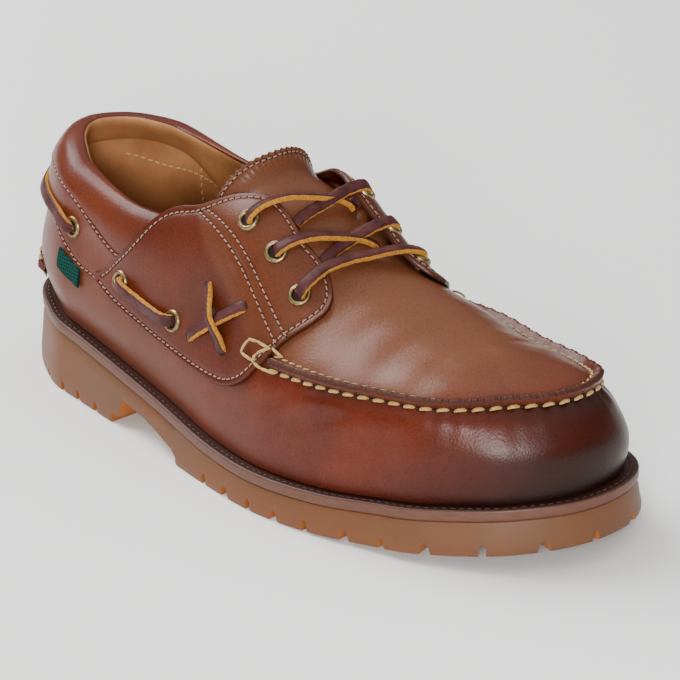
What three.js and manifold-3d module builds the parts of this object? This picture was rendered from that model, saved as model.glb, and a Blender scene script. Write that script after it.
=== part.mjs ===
import * as THREE from 'three';
import { mergeVertices } from 'three/addons/utils/BufferGeometryUtils.js';
import Module from 'manifold-3d';

const wasm = await Module();
wasm.setup();

// Overall sizes of the right shoe, in millimetres
const LENGTH = 305;
const BALL_WIDTH = 114;
const COLLAR_HEIGHT = 100;
const GAP = 0.3;

// Sole
const FEATHER = 5.3;
const WELT_THICKNESS = 4.6;
const SIDE_FLARE = 1.2;
const WELT_STEP = 0.8;
const TOE_SPRING = 9.7;
const TREAD_DEPTH = 4.6;
const NOTCH_LENGTH = 13;
const NOTCH_NARROW = 3.4;
const NOTCH_WIDE = 6.6;
const WAIST_HEIGHT = 12.5;
const WAIST_SAG = 0.85;
const BREAST_STEP = 6;
const BREAST_SLANT = 1;
const BALL_BEVEL = 4;

// Upper
const WALL = 2;
const HOLLOW_DROP = 8;
const SHELL_LEDGE = 1;
const OVERLAY = 1.6;
const OVERLAY_GAP = 0.6;
const RIDGE_WIDTH = 5.4;
const RIDGE_HEIGHT = 3.4;
const RIDGE_SHOULDER = 0.18;
const COLLAR_ROLL = 10;
const COLLAR_PUFF = 0.8;
const COLLAR_SINK = 0.4;
const TONGUE_THICKNESS = 3;
const TONGUE_LIFT = 9.2;
const TONGUE_CLEARANCE = 1.2;
const THROAT_WIDTH = 45;
const THROAT_FLOOR = 0.6;
const TONGUE_FLAT = 6;
const INSOLE_THICKNESS = 3.5;

// Fittings
const EYELET_RADIUS = 4.7;
const EYELET_BORE = 2.7;
const EYELET_HEIGHT = 1.3;
const EYELET_HOLE = 3.2;
const LACE_WIDTH = 4;
const LACE_THICKNESS = 2.4;
const LACE_FLAT = 0.7;
const TAG_DROP = 8.8;
const TAG_THICKNESS = 1.2;

// How finely the rounds are divided
const STEPS_PER_ROW = 3;
const QUARTER_STEPS = 18;
const ROUND_SIDES = 10;

// Sections around the last, from the heel back along the lateral side to the toe and home medially.
// Each lies on a spoke that leaves the spine, at an angle seen from above.
// spine: shares of LENGTH. edge, low, seam, high: distances out from the spine, as shares of BALL_WIDTH.
// lowUp, seamUp, highUp: heights, as shares of COLLAR_HEIGHT.
const SECTIONS = [
  // spine, angle, edge, low, lowUp, seam, seamUp, high, highUp
  [0.1475, 180, 0.391, 0.38, 0.48, 0.351, 0.72, 0.292, 1.0],
  [0.1475, 210, 0.368, 0.36, 0.48, 0.332, 0.7, 0.268, 0.99],
  [0.1475, 240, 0.339, 0.333, 0.46, 0.307, 0.7, 0.259, 0.97],
  [0.1475, 270, 0.357, 0.338, 0.45, 0.307, 0.7, 0.268, 0.95],
  [0.2623, 270, 0.396, 0.364, 0.4, 0.338, 0.62, 0.289, 0.88],
  [0.377, 270, 0.437, 0.395, 0.36, 0.364, 0.57, 0.263, 0.94],
  [0.4918, 270, 0.491, 0.439, 0.32, 0.373, 0.58, 0.241, 1.01],
  [0.6066, 270, 0.526, 0.474, 0.34, 0.404, 0.57, 0.211, 0.805],
  [0.7049, 270, 0.509, 0.465, 0.38, 0.408, 0.585, 0.193, 0.735],
  [0.8033, 270, 0.461, 0.421, 0.4, 0.355, 0.595, 0.175, 0.69],
  [0.8033, 300, 0.426, 0.382, 0.42, 0.303, 0.6, 0.158, 0.675],
  [0.8033, 330, 0.459, 0.404, 0.43, 0.294, 0.61, 0.149, 0.672],
  [0.8033, 360, 0.515, 0.461, 0.44, 0.351, 0.615, 0.175, 0.675],
  [0.8033, 390, 0.529, 0.491, 0.4, 0.373, 0.605, 0.184, 0.675],
  [0.8033, 420, 0.468, 0.43, 0.38, 0.338, 0.568, 0.167, 0.67],
  [0.8033, 450, 0.445, 0.404, 0.38, 0.307, 0.57, 0.158, 0.68],
  [0.7049, 450, 0.458, 0.421, 0.38, 0.338, 0.595, 0.175, 0.74],
  [0.6066, 450, 0.415, 0.386, 0.36, 0.36, 0.58, 0.193, 0.805],
  [0.4918, 450, 0.332, 0.333, 0.36, 0.325, 0.58, 0.228, 0.98],
  [0.377, 450, 0.301, 0.307, 0.38, 0.316, 0.58, 0.254, 0.94],
  [0.2623, 450, 0.327, 0.316, 0.4, 0.316, 0.62, 0.281, 0.92],
  [0.1475, 450, 0.336, 0.32, 0.45, 0.307, 0.7, 0.281, 0.95],
  [0.1475, 480, 0.351, 0.338, 0.46, 0.307, 0.7, 0.263, 0.97],
  [0.1475, 510, 0.393, 0.368, 0.48, 0.338, 0.72, 0.276, 0.99],
];
const ROWS = SECTIONS.length;
const HALF = ROWS / 2;

// Lines along the shoe: a share of LENGTH, then heights as shares of COLLAR_HEIGHT
const WELT_TOP = [
  [0, 0.323], [0.197, 0.281], [0.361, 0.223], [0.525, 0.165], [0.689, 0.173], [0.852, 0.224], [1, 0.276],
];
const CREST = [
  [0.148, 1.35], [0.262, 1.28], [0.377, 1.19], [0.492, 1.085], [0.607, 0.86], [0.705, 0.77], [0.803, 0.712],
];
const SPINE_SIDE = [[0, 0], [0.607, 0], [0.705, 0.013], [0.803, 0.035], [1, 0.035]];
const COLLAR_FOOT = [[0, 0.88], [0.1, 0.88], [0.16, 0.82], [0.2, 0.75], [0.25, 0.68], [0.33, 0.66]];
const COLLAR_RIM = [
  // along, lateral, medial
  [0, 1.025, 1.025], [0.1, 1.0, 1.01], [0.165, 0.955, 0.97], [0.207, 0.915, 0.96],
  [0.256, 0.89, 0.935], [0.33, 0.9, 0.92],
];

// Tongue: its middle as a share of LENGTH, how far its sides lie further back, and how much of the
// tongue's free height its middle stands over the throat
const TONGUE = [
  // along, back, lift
  [0.64, 0, 0], [0.6, 0, 0], [0.56, 0, 0], [0.52, 0, 0], [0.495, 0.005, 0], [0.47, 0.02, 0.12],
  [0.453, 0.035, 0.3], [0.437, 0.05, 1],
];

// Cross-section of the collar: level from foot to rim, and how far inward of the outer face, in rolls
const COLLAR_PROFILE = [
  [0, 0], [0.35, 0], [0.65, 0], [0.88, 0.06], [1, 0.35], [1, 0.65],
  [0.88, 0.94], [0.6, 1], [0.3, 0.8], [0, 0.5],
];
const COLLAR_THINNING = 0.45;

// Front quarter with its eyestay: a share of LENGTH, then its lower and upper bound up the section
const QUARTER = [
  // along, low, high
  [0.22, 1.62, 1.8], [0.265, 1.4, 2.35], [0.325, 1.38, 3.0], [0.4, 1.28, 3.15], [0.47, 1.32, 3.45],
  [0.5, 1.36, 3.6], [0.54, 1.62, 3.57], [0.575, 2.02, 3.42], [0.6, 2.45, 3.25], [0.62, 2.85, 3.0],
];
const MEDIAL_SHIFT = 0.025;

// Where parts begin and end, as shares of LENGTH
const WAIST = [0.27, 0.43];
const COLLAR_END = 0.318;
const COLLAR_CUT = [0.02, 0.328];
const SIDE_CUT = [0.33, 0.47];
const CUT_END = 0.5;
const THROAT_FRONT = 0.56;
const RIDGE_START = 0.592;
const RIDGE_END = 0.648;

// Heel seam: how far it runs each way from the heel back, in sections, and its place up the section
const HEEL_SEAM_TURN = 1.75;
const HEEL_SEAM_UP = 0.8;

// Throat eyelets: along, and up the section. Side eyelets: along, and up the section.
const THROAT_EYELETS = [[0.487, 3.02], [0.537, 2.99], [0.586, 2.86]];
const SIDE_EYELETS = [[0.157, 2.08], [0.277, 1.97], [0.394, 1.94]];

// Where each throat crossing's two strands end at the far eyestay's edge: share along, place across, height.
// The first is the strand from the lateral eyelet, the second the one from the medial eyelet.
const LACE_TARGETS = [
  [[0.523, 0.32, -0.6], [0.525, -0.34, -0.6]],
  [[0.576, 0.3, 1.8], [0.573, -0.42, 1.8]],
];

// Legs of the crossed side lace: each end as a share of LENGTH and a share of COLLAR_HEIGHT
const CROSS_LEGS = [
  [[0.452, 0.76], [0.498, 0.53]],
  [[0.426, 0.52], [0.525, 0.73]],
];
const HEEL_LACE_HEIGHT = 0.835;
const HEEL_LACE_DIP = 0.1;
const TAG_PLACE = [0.149, 0.178];
const TAG_TOP = [0.585, 0.55];

// Notches in the sole's side: a share of LENGTH, then 0 for narrow or 1 for wide
const NOTCHES = [
  [0.05, 0], [0.112, 0], [0.148, 0], [0.186, 0], [0.23, 0], [0.498, 0], [0.545, 1], [0.593, 0], [0.639, 1],
  [0.69, 0], [0.748, 1], [0.8, 0], [0.845, 1], [0.901, 0], [0.955, 1], [1, 0],
];

// Value between four neighbours of a smooth row; before, span and after are the distances between them
function blend(p0, p1, p2, p3, before, span, after, share) {
  const start = ((p1 - p0) / before * span + (p2 - p1) / span * before) / (before + span);
  const end = ((p2 - p1) / span * after + (p3 - p2) / after * span) / (span + after);
  const t2 = share * share;
  const t3 = t2 * share;
  return (2 * t3 - 3 * t2 + 1) * p1 + (t3 - 2 * t2 + share) * span * start
    + (3 * t2 - 2 * t3) * p2 + (t3 - t2) * span * end;
}

// Smooth value of one column of a table at a distance along it
function along(table, at, column = 1) {
  const last = table.length - 1;
  const place = Math.min(Math.max(at, table[0][0]), table[last][0]);
  let i = 0;
  while (i < last - 1 && place > table[i + 1][0]) i += 1;
  const rows = [Math.max(i - 1, 0), i, i + 1, Math.min(i + 2, last)].map((k) => table[k]);
  const span = rows[2][0] - rows[1][0];
  const before = rows[1][0] - rows[0][0] || span;
  const after = rows[3][0] - rows[2][0] || span;
  const values = rows.map((row) => row[column]);
  return blend(...values, before, span, after, (place - rows[1][0]) / span);
}

// Height of the welt's top, and of the crest of the last, at a distance from the heel
const weltTop = (x) => COLLAR_HEIGHT * along(WELT_TOP, x / LENGTH);
const crest = (x) => COLLAR_HEIGHT * along(CREST, x / LENGTH);

// Start and direction of the spoke at a place around the shoe, counted in sections
function spoke(around) {
  const turn = ((around % ROWS) + ROWS) % ROWS;
  const i = Math.floor(turn);
  const share = turn - i;
  const here = SECTIONS[i];
  const next = SECTIONS[(i + 1) % ROWS];
  const nextAngle = next[1] < here[1] ? next[1] + 360 : next[1];
  const x = LENGTH * (here[0] + (next[0] - here[0]) * share);
  const angle = THREE.MathUtils.degToRad(here[1] + (nextAngle - here[1]) * share);
  return { x, y: BALL_WIDTH * along(SPINE_SIDE, x / LENGTH), cos: Math.cos(angle), sin: Math.sin(angle) };
}

// Distances between neighbouring sections, measured at the sole's edge
const SPANS = SECTIONS.map((row, i) => {
  const [from, to] = [i, i + 1].map((k) => {
    const line = spoke(k);
    const reach = BALL_WIDTH * SECTIONS[k % ROWS][2];
    return [line.x + reach * line.cos, line.y + reach * line.sin];
  });
  return Math.hypot(to[0] - from[0], to[1] - from[1]);
});

// Smooth value of one column of the sections at a place around the shoe
function section(around, column) {
  const turn = ((around % ROWS) + ROWS) % ROWS;
  const i = Math.floor(turn);
  const row = (k) => SECTIONS[(i + k + ROWS) % ROWS][column];
  const span = (k) => SPANS[(i + k + ROWS) % ROWS];
  return blend(row(-1), row(0), row(1), row(2), span(-1), span(0), span(1), turn - i);
}

// Place around the shoe of a share of LENGTH on the lateral side (side -1) or medial side (side 1)
function beside(share, side) {
  let i = 3;
  while (i < 8 && share > SECTIONS[i + 1][0]) i += 1;
  const turn = i + (share - SECTIONS[i][0]) / (SECTIONS[i + 1][0] - SECTIONS[i][0]);
  return side < 0 ? turn : ROWS - turn;
}

// Point of the sole's edge, drawn in by an inset or shrunk towards the spine by a share
function edgePoint(around, inset, shrink, height) {
  const line = spoke(around);
  const reach = (BALL_WIDTH * section(around, 2) - inset) * shrink;
  const x = line.x + reach * line.cos;
  return [x, line.y + reach * line.sin, height(x)];
}

// Point of the upper's outer surface before any offset. up is 0 at the welt, 2 at the seam, 4 at the crest.
const UP_SPANS = [15, 15, 24, 30, 28, 28];
function bare(around, up) {
  const line = spoke(around);
  const foot = BALL_WIDTH * section(around, 2) - FEATHER;
  const out = [0, foot, ...[3, 5, 7].map((k) => BALL_WIDTH * section(around, k)), 0];
  const edgeX = line.x + foot * line.cos;
  const levels = [4, 6, 8].map((k) => COLLAR_HEIGHT * section(around, k));
  const high = [0, weltTop(edgeX) + GAP, ...levels, crest(line.x)];
  out[0] = out[1] - (out[2] - out[1]) * 0.5;
  high[0] = high[1] - (high[2] - high[1]) * 0.5;
  out.push(-out[4]);
  high.push(high[4]);
  const i = Math.min(Math.floor(up), 3);
  const place = (values) => blend(...values.slice(i, i + 4), ...UP_SPANS.slice(i, i + 3), up - i);
  const reach = place(out);
  return new THREE.Vector3(line.x + reach * line.cos, line.y + reach * line.sin, place(high));
}

// Outward direction of the upper's surface
function outward(around, up) {
  if (up > 3.999) {
    const { x } = spoke(around);
    return new THREE.Vector3(crest(x - 1) - crest(x + 1), 0, 2).normalize();
  }
  const step = 0.01;
  const across = bare(around + step, up).sub(bare(around - step, up));
  const rise = bare(around, Math.min(up + step, 3.999)).sub(bare(around, Math.max(up - step, 0)));
  return across.cross(rise).normalize();
}

// Point at a distance outside the upper's surface
function skin(around, up, offset) {
  return bare(around, up).addScaledVector(outward(around, up), offset);
}

// Place up the section where the surface reaches a height
function upAt(around, height) {
  let low = 0;
  let high = 3.9;
  for (let i = 0; i < 24; i += 1) {
    const middle = (low + high) / 2;
    if (bare(around, middle).z < height) low = middle;
    else high = middle;
  }
  return low;
}

// One closed body through rings of points, its first and last ring zipped shut across
function body(rings) {
  const points = rings.flat().map((point) => (Array.isArray(point) ? point : point.toArray()));
  const count = rings[0].length;
  const faces = [];
  for (let i = 0; i < rings.length - 1; i += 1) {
    for (let j = 0; j < count; j += 1) {
      const k = (j + 1) % count;
      const here = i * count;
      const next = here + count;
      faces.push([here + j, here + k, next + k], [here + j, next + k, next + j]);
    }
  }
  for (const [start, flip] of [[0, true], [(rings.length - 1) * count, false]]) {
    for (let j = 0; j < Math.floor(count / 2) - 1; j += 1) {
      const quad = [j, j + 1, count - 2 - j, count - 1 - j].map((k) => start + k);
      if (flip) quad.reverse();
      faces.push([quad[0], quad[1], quad[2]], [quad[0], quad[2], quad[3]]);
    }
  }
  const geometry = new THREE.BufferGeometry();
  geometry.setAttribute('position', new THREE.Float32BufferAttribute(points.flat(), 3));
  geometry.setIndex(faces.flat());
  return facingOut(geometry);
}

// Merges shared points, drops faces of no area and turns the faces outwards
function facingOut(source) {
  source.deleteAttribute('normal');
  source.deleteAttribute('uv');
  const geometry = mergeVertices(source, 1e-3);
  const index = geometry.index.array;
  const position = geometry.attributes.position;
  const corner = (k) => new THREE.Vector3().fromBufferAttribute(position, k);
  const kept = [];
  let volume = 0;
  for (let i = 0; i < index.length; i += 3) {
    const [a, b, c] = index.slice(i, i + 3);
    if (a !== b && b !== c && c !== a) {
      kept.push(a, b, c);
      volume += corner(a).dot(corner(b).cross(corner(c)));
    }
  }
  if (volume < 0) kept.reverse();
  geometry.setIndex(kept);
  return geometry;
}

// Geometry to solid and back, for cuts
function solid(geometry) {
  const mesh = new wasm.Mesh({
    numProp: 3,
    vertProperties: new Float32Array(geometry.attributes.position.array),
    triVerts: new Uint32Array(geometry.index.array),
  });
  mesh.merge();
  return new wasm.Manifold(mesh);
}

function surface(manifold) {
  const mesh = manifold.getMesh();
  const geometry = new THREE.BufferGeometry();
  geometry.setAttribute('position', new THREE.Float32BufferAttribute(mesh.vertProperties, 3));
  geometry.setIndex(Array.from(mesh.triVerts));
  return geometry;
}

// Places all the way around the shoe, fine for what shows and coarser for what is inside heel and toe
const FINE = Array.from({ length: ROWS * STEPS_PER_ROW }, (_, i) => i / STEPS_PER_ROW);
const INSIDE = FINE.filter((around, i) => i % 2 === 0 || Math.abs(Math.abs(around - HALF) - 5.5) < 2.5);

// Flat-lying layer of the sole between two heights, each a function of the distance from the heel
function layer(inset, bottomInset, bottom, top, places = FINE) {
  const ring = (edge, shrink, height) => places.map((around) => edgePoint(around, edge, shrink, height));
  return body([
    ring(bottomInset, 0, bottom), ring(bottomInset, 0.5, bottom), ring(bottomInset, 1, bottom),
    ring(inset, 1, top), ring(inset, 0.5, top), ring(inset, 0, top),
  ]);
}

// Form of the last at an offset from the upper's surface, reaching down below the welt by a drop
function lastForm(places, offset, drop) {
  const rise = [0, 0.4, 0.8, 1.2, 1.6, 2, 2.35, 2.7, 3, 3.25, 3.5, 3.75, 4];
  const rings = rise.map((up) => places.map((around) => skin(around, up, offset)));
  const foot = rings[0].map((point) => [point.x, point.y, point.z - drop]);
  const centre = places.map((around) => {
    const line = spoke(around);
    return [line.x, line.y, weltTop(line.x) + GAP - drop];
  });
  const between = foot.map((point, i) => point.map((value, k) => (value + centre[i][k]) / 2));
  return body([centre, between, ...(drop > 0 ? [foot] : []), ...rings]);
}

// Panel lying on the upper between two offsets; each of its rows is a place around, a low and a high edge.
// Its steps crowd towards the high edge by a power.
const CROWD = 1.4;
function panel(rows, inner, outer, steps) {
  const shares = spread(0, 1, steps).map((share) => 1 - (1 - share) ** CROWD);
  return body(rows.map(([around, low, high]) => {
    const line = (offset) => shares.map((share) => skin(around, low + (high - low) * share, offset(share)));
    return [...line(outer), ...line(() => inner).reverse()];
  }));
}

// Evenly spaced values from one number to another
function spread(from, to, count) {
  return Array.from({ length: count + 1 }, (_, i) => from + (to - from) * (i / count));
}

// Straight-sided prism: an outline in the plane of two axes, pushed out both ways along the third
function prism(outline, depth, upright) {
  const shape = new THREE.Shape(outline.map(([a, b]) => new THREE.Vector2(a, b)));
  const geometry = new THREE.ExtrudeGeometry(shape, { depth, bevelEnabled: false });
  if (upright) geometry.rotateX(Math.PI / 2).translate(0, depth / 2, 0);
  return geometry;
}

// Box cut into the sole's side at a place around the shoe
function notch(around, width) {
  const foot = edgePoint(around, 0, 1, () => 0);
  const line = spoke(around);
  const box = new THREE.BoxGeometry(NOTCH_LENGTH * 2, width, TREAD_DEPTH * 2);
  const bottom = soleBottom(foot[0]);
  box.rotateZ(Math.atan2(line.sin, line.cos)).translate(foot[0], foot[1], bottom);
  return solid(facingOut(box));
}

// Height of the tread's lowest face: flat under heel and ball, rising to the toe
const SPRING_START = 0.59;
function soleBottom(x) {
  const share = Math.max(x / LENGTH - SPRING_START, 0) / (1 - SPRING_START);
  return TOE_SPRING * share * share;
}

const group = new THREE.Group();
const shoe = new THREE.Group();
group.add(shoe);

function add(name, geometry, colour, roughness, metalness = 0) {
  const material = new THREE.MeshStandardMaterial({ color: colour, roughness, metalness });
  const mesh = new THREE.Mesh(geometry, material);
  mesh.name = name;
  shoe.add(mesh);
}

// Outsole: rubber heel, arched waist and forefoot with notched sides
function outsole() {
  const top = (x) => weltTop(x) - WELT_THICKNESS - GAP;
  const block = solid(layer(WELT_STEP, -SIDE_FLARE, soleBottom, top));
  const breast = WAIST[0] * LENGTH;
  const ball = WAIST[1] * LENGTH;
  const waist = prism([
    [breast, -BREAST_SLANT], [breast, TREAD_DEPTH], [breast + BREAST_STEP, TREAD_DEPTH],
    [breast + BREAST_STEP + BREAST_SLANT, WAIST_HEIGHT], [(breast + ball) / 2, WAIST_HEIGHT * WAIST_SAG],
    [ball - BALL_BEVEL, TREAD_DEPTH + BREAST_SLANT], [ball, TREAD_DEPTH - BREAST_SLANT],
    [ball, -BREAST_SLANT],
  ], BALL_WIDTH * 2, true);
  let shape = block.subtract(solid(facingOut(waist)));
  for (const side of [-1, 1]) {
    for (const [share, wide] of NOTCHES) {
      const width = wide ? NOTCH_WIDE : NOTCH_NARROW;
      shape = shape.subtract(notch(notchPlace(share, side), width));
    }
  }
  return surface(shape);
}

// Notches at the ends of the shoe sit on the heel's and toe's rounds, the others on its sides
function notchPlace(share, side) {
  const first = SECTIONS[0][0];
  const last = SECTIONS[HALF][0];
  let turn = 0;
  if (share < first) turn = 3 * (share / first);
  else if (share > last) turn = 9 + 3 * ((share - last) / (1 - last));
  else return beside(share, side);
  return side < 0 ? turn : ROWS - turn;
}

add('outsole', outsole(), 0x95694a, 0.6);

// Welt: the flat strip that the upper stands on, closed across under the foot
add('welt', layer(0, 0, (x) => weltTop(x) - WELT_THICKNESS, weltTop), 0x6a4232, 0.5);

// Insole inside the upper
const insoleInset = FEATHER + WALL + GAP * 3;
add('insole', layer(insoleInset, insoleInset, (x) => weltTop(x) + GAP,
  (x) => weltTop(x) + GAP + INSOLE_THICKNESS, INSIDE), 0x9a5f2e, 0.7);

// Upper: a hollow wall, open underneath, at the collar and at the throat
const quarterTop = (share) => skin(beside(share, -1), along(QUARTER, share, 2), 0).z;
function upper() {
  const outer = solid(lastForm(FINE, 0, 0));
  const hollow = solid(lastForm(INSIDE, -WALL, HOLLOW_DROP));
  const footHeight = (share) => along(COLLAR_FOOT, share) * COLLAR_HEIGHT - GAP;
  const footLine = spread(COLLAR_CUT[0], COLLAR_END, 12).map((share) => [share * LENGTH, footHeight(share)]);
  const sideLine = spread(...SIDE_CUT, 5).map((share) => [share * LENGTH, quarterTop(share) - SHELL_LEDGE]);
  const above = COLLAR_HEIGHT * 2;
  const collarCut = prism([
    [-COLLAR_ROLL, above], [-COLLAR_ROLL, footLine[0][1]], ...footLine,
    [COLLAR_CUT[1] * LENGTH, footLine[12][1]], ...sideLine, [CUT_END * LENGTH, above],
  ], BALL_WIDTH * 2, true);
  const half = THROAT_WIDTH / 2;
  const front = THROAT_FRONT * LENGTH;
  const throatCut = prism([
    [COLLAR_END * LENGTH, -half], [front - half * 0.6, -half], [front - half * 0.1, -half * 0.5],
    [front, 0], [front - half * 0.1, half * 0.5], [front - half * 0.6, half], [COLLAR_END * LENGTH, half],
  ], above, false);
  throatCut.translate(0, 0, COLLAR_HEIGHT * THROAT_FLOOR);
  return outer.subtract(hollow).subtract(solid(facingOut(collarCut))).subtract(solid(facingOut(throatCut)));
}

// Front quarters with their eyestays, over the sides of the upper
function quarter(side) {
  const shift = side > 0 ? MEDIAL_SHIFT : 0;
  const ends = [QUARTER[0][0], QUARTER[QUARTER.length - 1][0]];
  const rows = spread(...ends, QUARTER_STEPS).map((share) => (
    [beside(share + shift, side), along(QUARTER, share, 1), along(QUARTER, share, 2)]
  ));
  return solid(panel(rows, OVERLAY_GAP, () => OVERLAY_GAP + OVERLAY, 8));
}

// Eyelets: where they sit, which way they face, and the ring itself
function seat(place, side) {
  const shift = side > 0 ? MEDIAL_SHIFT : 0;
  const around = beside(place[0] + (place[1] > 2.5 ? shift : 0), side);
  return { around, up: place[1], point: bare(around, place[1]), normal: outward(around, place[1]) };
}

function aimed(geometry, where, height) {
  const turn = new THREE.Quaternion().setFromUnitVectors(new THREE.Vector3(0, 1, 0), where.normal);
  const centre = where.point.clone().addScaledVector(where.normal, height);
  return geometry.applyQuaternion(turn).translate(centre.x, centre.y, centre.z);
}

function ring(where, height) {
  const middle = (EYELET_RADIUS + EYELET_BORE) / 2;
  const profile = [
    [EYELET_BORE, 0], [EYELET_RADIUS, 0], [middle + EYELET_HEIGHT * 0.3, EYELET_HEIGHT],
    [EYELET_BORE, EYELET_HEIGHT * 0.7], [EYELET_BORE, 0],
  ].map(([r, h]) => new THREE.Vector2(r, h));
  return facingOut(aimed(new THREE.LatheGeometry(profile, ROUND_SIDES), where, height));
}

function bore(where) {
  const pin = new THREE.CylinderGeometry(EYELET_HOLE, EYELET_HOLE, OVERLAY * 2 + WALL * 4, ROUND_SIDES);
  return solid(facingOut(aimed(pin, where, 0)));
}

const SIDES = [['lateral', -1], ['medial', 1]];
const quarters = new Map(SIDES.map(([name, side]) => [name, quarter(side)]));
let shell = upper();
const rings = [];
for (const [name, side] of SIDES) {
  THROAT_EYELETS.forEach((place, i) => {
    const where = seat(place, side);
    shell = shell.subtract(bore(where));
    quarters.set(name, quarters.get(name).subtract(bore(where)));
    rings.push([`throat_eyelet_${name}_${i + 1}`, ring(where, OVERLAY + OVERLAY_GAP + GAP)]);
  });
  SIDE_EYELETS.forEach((place, i) => {
    const where = seat(place, side);
    const onQuarter = i > 0;
    shell = shell.subtract(bore(where));
    if (onQuarter) quarters.set(name, quarters.get(name).subtract(bore(where)));
    rings.push([`side_eyelet_${name}_${i + 1}`, ring(where, (onQuarter ? OVERLAY : 0) + OVERLAY_GAP + GAP)]);
  });
}
add('upper', surface(shell), 0x7b3d27, 0.45);
for (const [name] of SIDES) add(`front_quarter_${name}`, surface(quarters.get(name)), 0x7b3d27, 0.45);
for (const [name, geometry] of rings) add(name, geometry, 0x8a7448, 0.35, 0.9);

// Collar: a padded roll around the back of the opening, flush where the front quarters cover it
function collar() {
  const from = -beside(COLLAR_END, -1);
  return body(spread(from, -from, 36).map((around) => {
    const line = spoke(around);
    const share = Math.min(bare(around, 2.6).x / LENGTH, COLLAR_END);
    const rim = COLLAR_HEIGHT * along(COLLAR_RIM, share, around < 0 ? 2 : 1);
    const foot = COLLAR_HEIGHT * along(COLLAR_FOOT, share);
    const cover = THREE.MathUtils.smoothstep(share, SECTIONS[0][0], QUARTER[0][0]);
    const roll = COLLAR_ROLL * (1 - COLLAR_THINNING * cover);
    const puff = COLLAR_PUFF - (COLLAR_PUFF + COLLAR_SINK) * cover;
    return COLLAR_PROFILE.map(([level, inward]) => {
      const height = foot + (rim - foot) * level;
      const point = skin(around, upAt(around, height), level > 0 && level < 1 ? puff : -COLLAR_SINK);
      return [point.x - inward * roll * line.cos, point.y - inward * roll * line.sin, height];
    });
  }));
}
add('collar', collar(), 0x7b3d27, 0.45);

// Point above the instep: across is -1 on the lateral eyestay, 0 at the crest and 1 on the medial eyestay
function over(share, across, offset) {
  return skin(beside(share, across < 0 ? -1 : 1), 4 - Math.abs(across), offset);
}

// Tongue: lies under the plug and the eyestays and rises out of the throat
function tongue() {
  const top = -WALL - TONGUE_CLEARANCE;
  return body(TONGUE.map(([share, back, lift]) => {
    const row = (drop) => spread(-1, 1, 12).map((across) => {
      const rise = TONGUE_LIFT * lift * (1 - across ** 4) ** TONGUE_FLAT;
      return over(share - back * across * across, across, top - drop + rise);
    });
    return [...row(0), ...row(TONGUE_THICKNESS).reverse()];
  }));
}
add('tongue', tongue(), 0x7b4a36, 0.45);

// Raised hand-sewn seams: around the plug, and around the back of the heel
function ridge(from, to, steps, up) {
  const half = RIDGE_WIDTH / 2 / UP_SPANS[3];
  const turn = (share) => Math.PI * (RIDGE_SHOULDER + (1 - 2 * RIDGE_SHOULDER) * share);
  const bulge = (share) => GAP + RIDGE_HEIGHT * Math.sin(turn(share));
  return panel(spread(from, to, steps).map((around) => [around, up - half, up + half]), GAP, bulge, 4);
}
add('plug_seam', ridge(beside(RIDGE_START, -1), beside(RIDGE_END, 1), 36, 2), 0x5a2a1a, 0.5);
add('heel_seam', ridge(-HEEL_SEAM_TURN, HEEL_SEAM_TURN, 12, HEEL_SEAM_UP), 0x5a2a1a, 0.5);

// Flat lace through chosen points, its wide face turned to the direction given at each point
function strand(points, faces, steps) {
  const path = new THREE.CatmullRomCurve3(points, false, 'centripetal');
  const wideHalf = LACE_WIDTH / 2;
  const thickHalf = LACE_THICKNESS / 2;
  const outline = [
    [-wideHalf, 0], [-wideHalf * LACE_FLAT, -thickHalf], [wideHalf * LACE_FLAT, -thickHalf],
    [wideHalf, 0], [wideHalf * LACE_FLAT, thickHalf], [-wideHalf * LACE_FLAT, thickHalf],
  ];
  return body(spread(0, 1, steps).map((share) => {
    const place = share * (points.length - 1);
    const i = Math.min(Math.floor(place), points.length - 2);
    const face = faces[i].clone().lerp(faces[i + 1], place - i);
    const centre = path.getPoint(share);
    const ahead = path.getTangent(share);
    const wide = ahead.clone().cross(face).normalize();
    const thick = wide.clone().cross(ahead).normalize();
    return outline.map(([a, b]) => centre.clone().addScaledVector(wide, a).addScaledVector(thick, b));
  }));
}

// Throat lace: each strand as share along, place across and height over the surface
const RING_TOP = OVERLAY + OVERLAY_GAP + GAP + EYELET_HEIGHT;
const LACE_REST = RING_TOP + LACE_THICKNESS / 2 + GAP;
const LACE_OVER = LACE_REST + GAP;
const LACE_FLAP = OVERLAY_GAP + OVERLAY + LACE_THICKNESS / 2 + GAP * 2;
const LACE_THROAT = LACE_THICKNESS / 2 + GAP * 2;
function throatStrand(route) {
  const points = route.map(([share, across, offset]) => over(share, across, offset));
  const place = ([share, across]) => [beside(share, across < 0 ? -1 : 1), 4 - Math.abs(across)];
  const faces = route.map((stop) => outward(...place(stop)));
  return solid(strand(points, faces, 12));
}

// From an eyelet over the eyestay and down to the other eyestay's edge
function fromEyelet(row, side, target) {
  const [share, up] = THROAT_EYELETS[row];
  const start = share + (side > 0 ? MEDIAL_SHIFT : 0);
  const out = 4 - up;
  const between = (part) => start + (target[0] - start) * part;
  return throatStrand([
    [start, side * out, LACE_REST], [between(0.1), side * out * 0.82, LACE_OVER],
    [between(0.3), side * out * 0.5, LACE_FLAP], [between(0.6), 0, LACE_THROAT],
    [between(0.85), target[1] * 0.6, (LACE_THROAT + target[2]) / 2], target,
  ]);
}
LACE_TARGETS.forEach(([lateralStart, medialStart], i) => {
  const pair = fromEyelet(i, -1, lateralStart).add(fromEyelet(i, 1, medialStart));
  add(`throat_lace_crossing_${i + 1}`, surface(pair), 0x5b2f30, 0.7);
});
const [barShare, barUp] = THROAT_EYELETS[2];
const barOut = 4 - barUp;
const barStops = [[-1, LACE_REST], [-0.85, LACE_OVER], [-0.55, LACE_FLAP + GAP], [0, LACE_THROAT + GAP],
  [0.5, LACE_FLAP + GAP], [0.85, LACE_OVER], [1, LACE_REST]];
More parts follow.
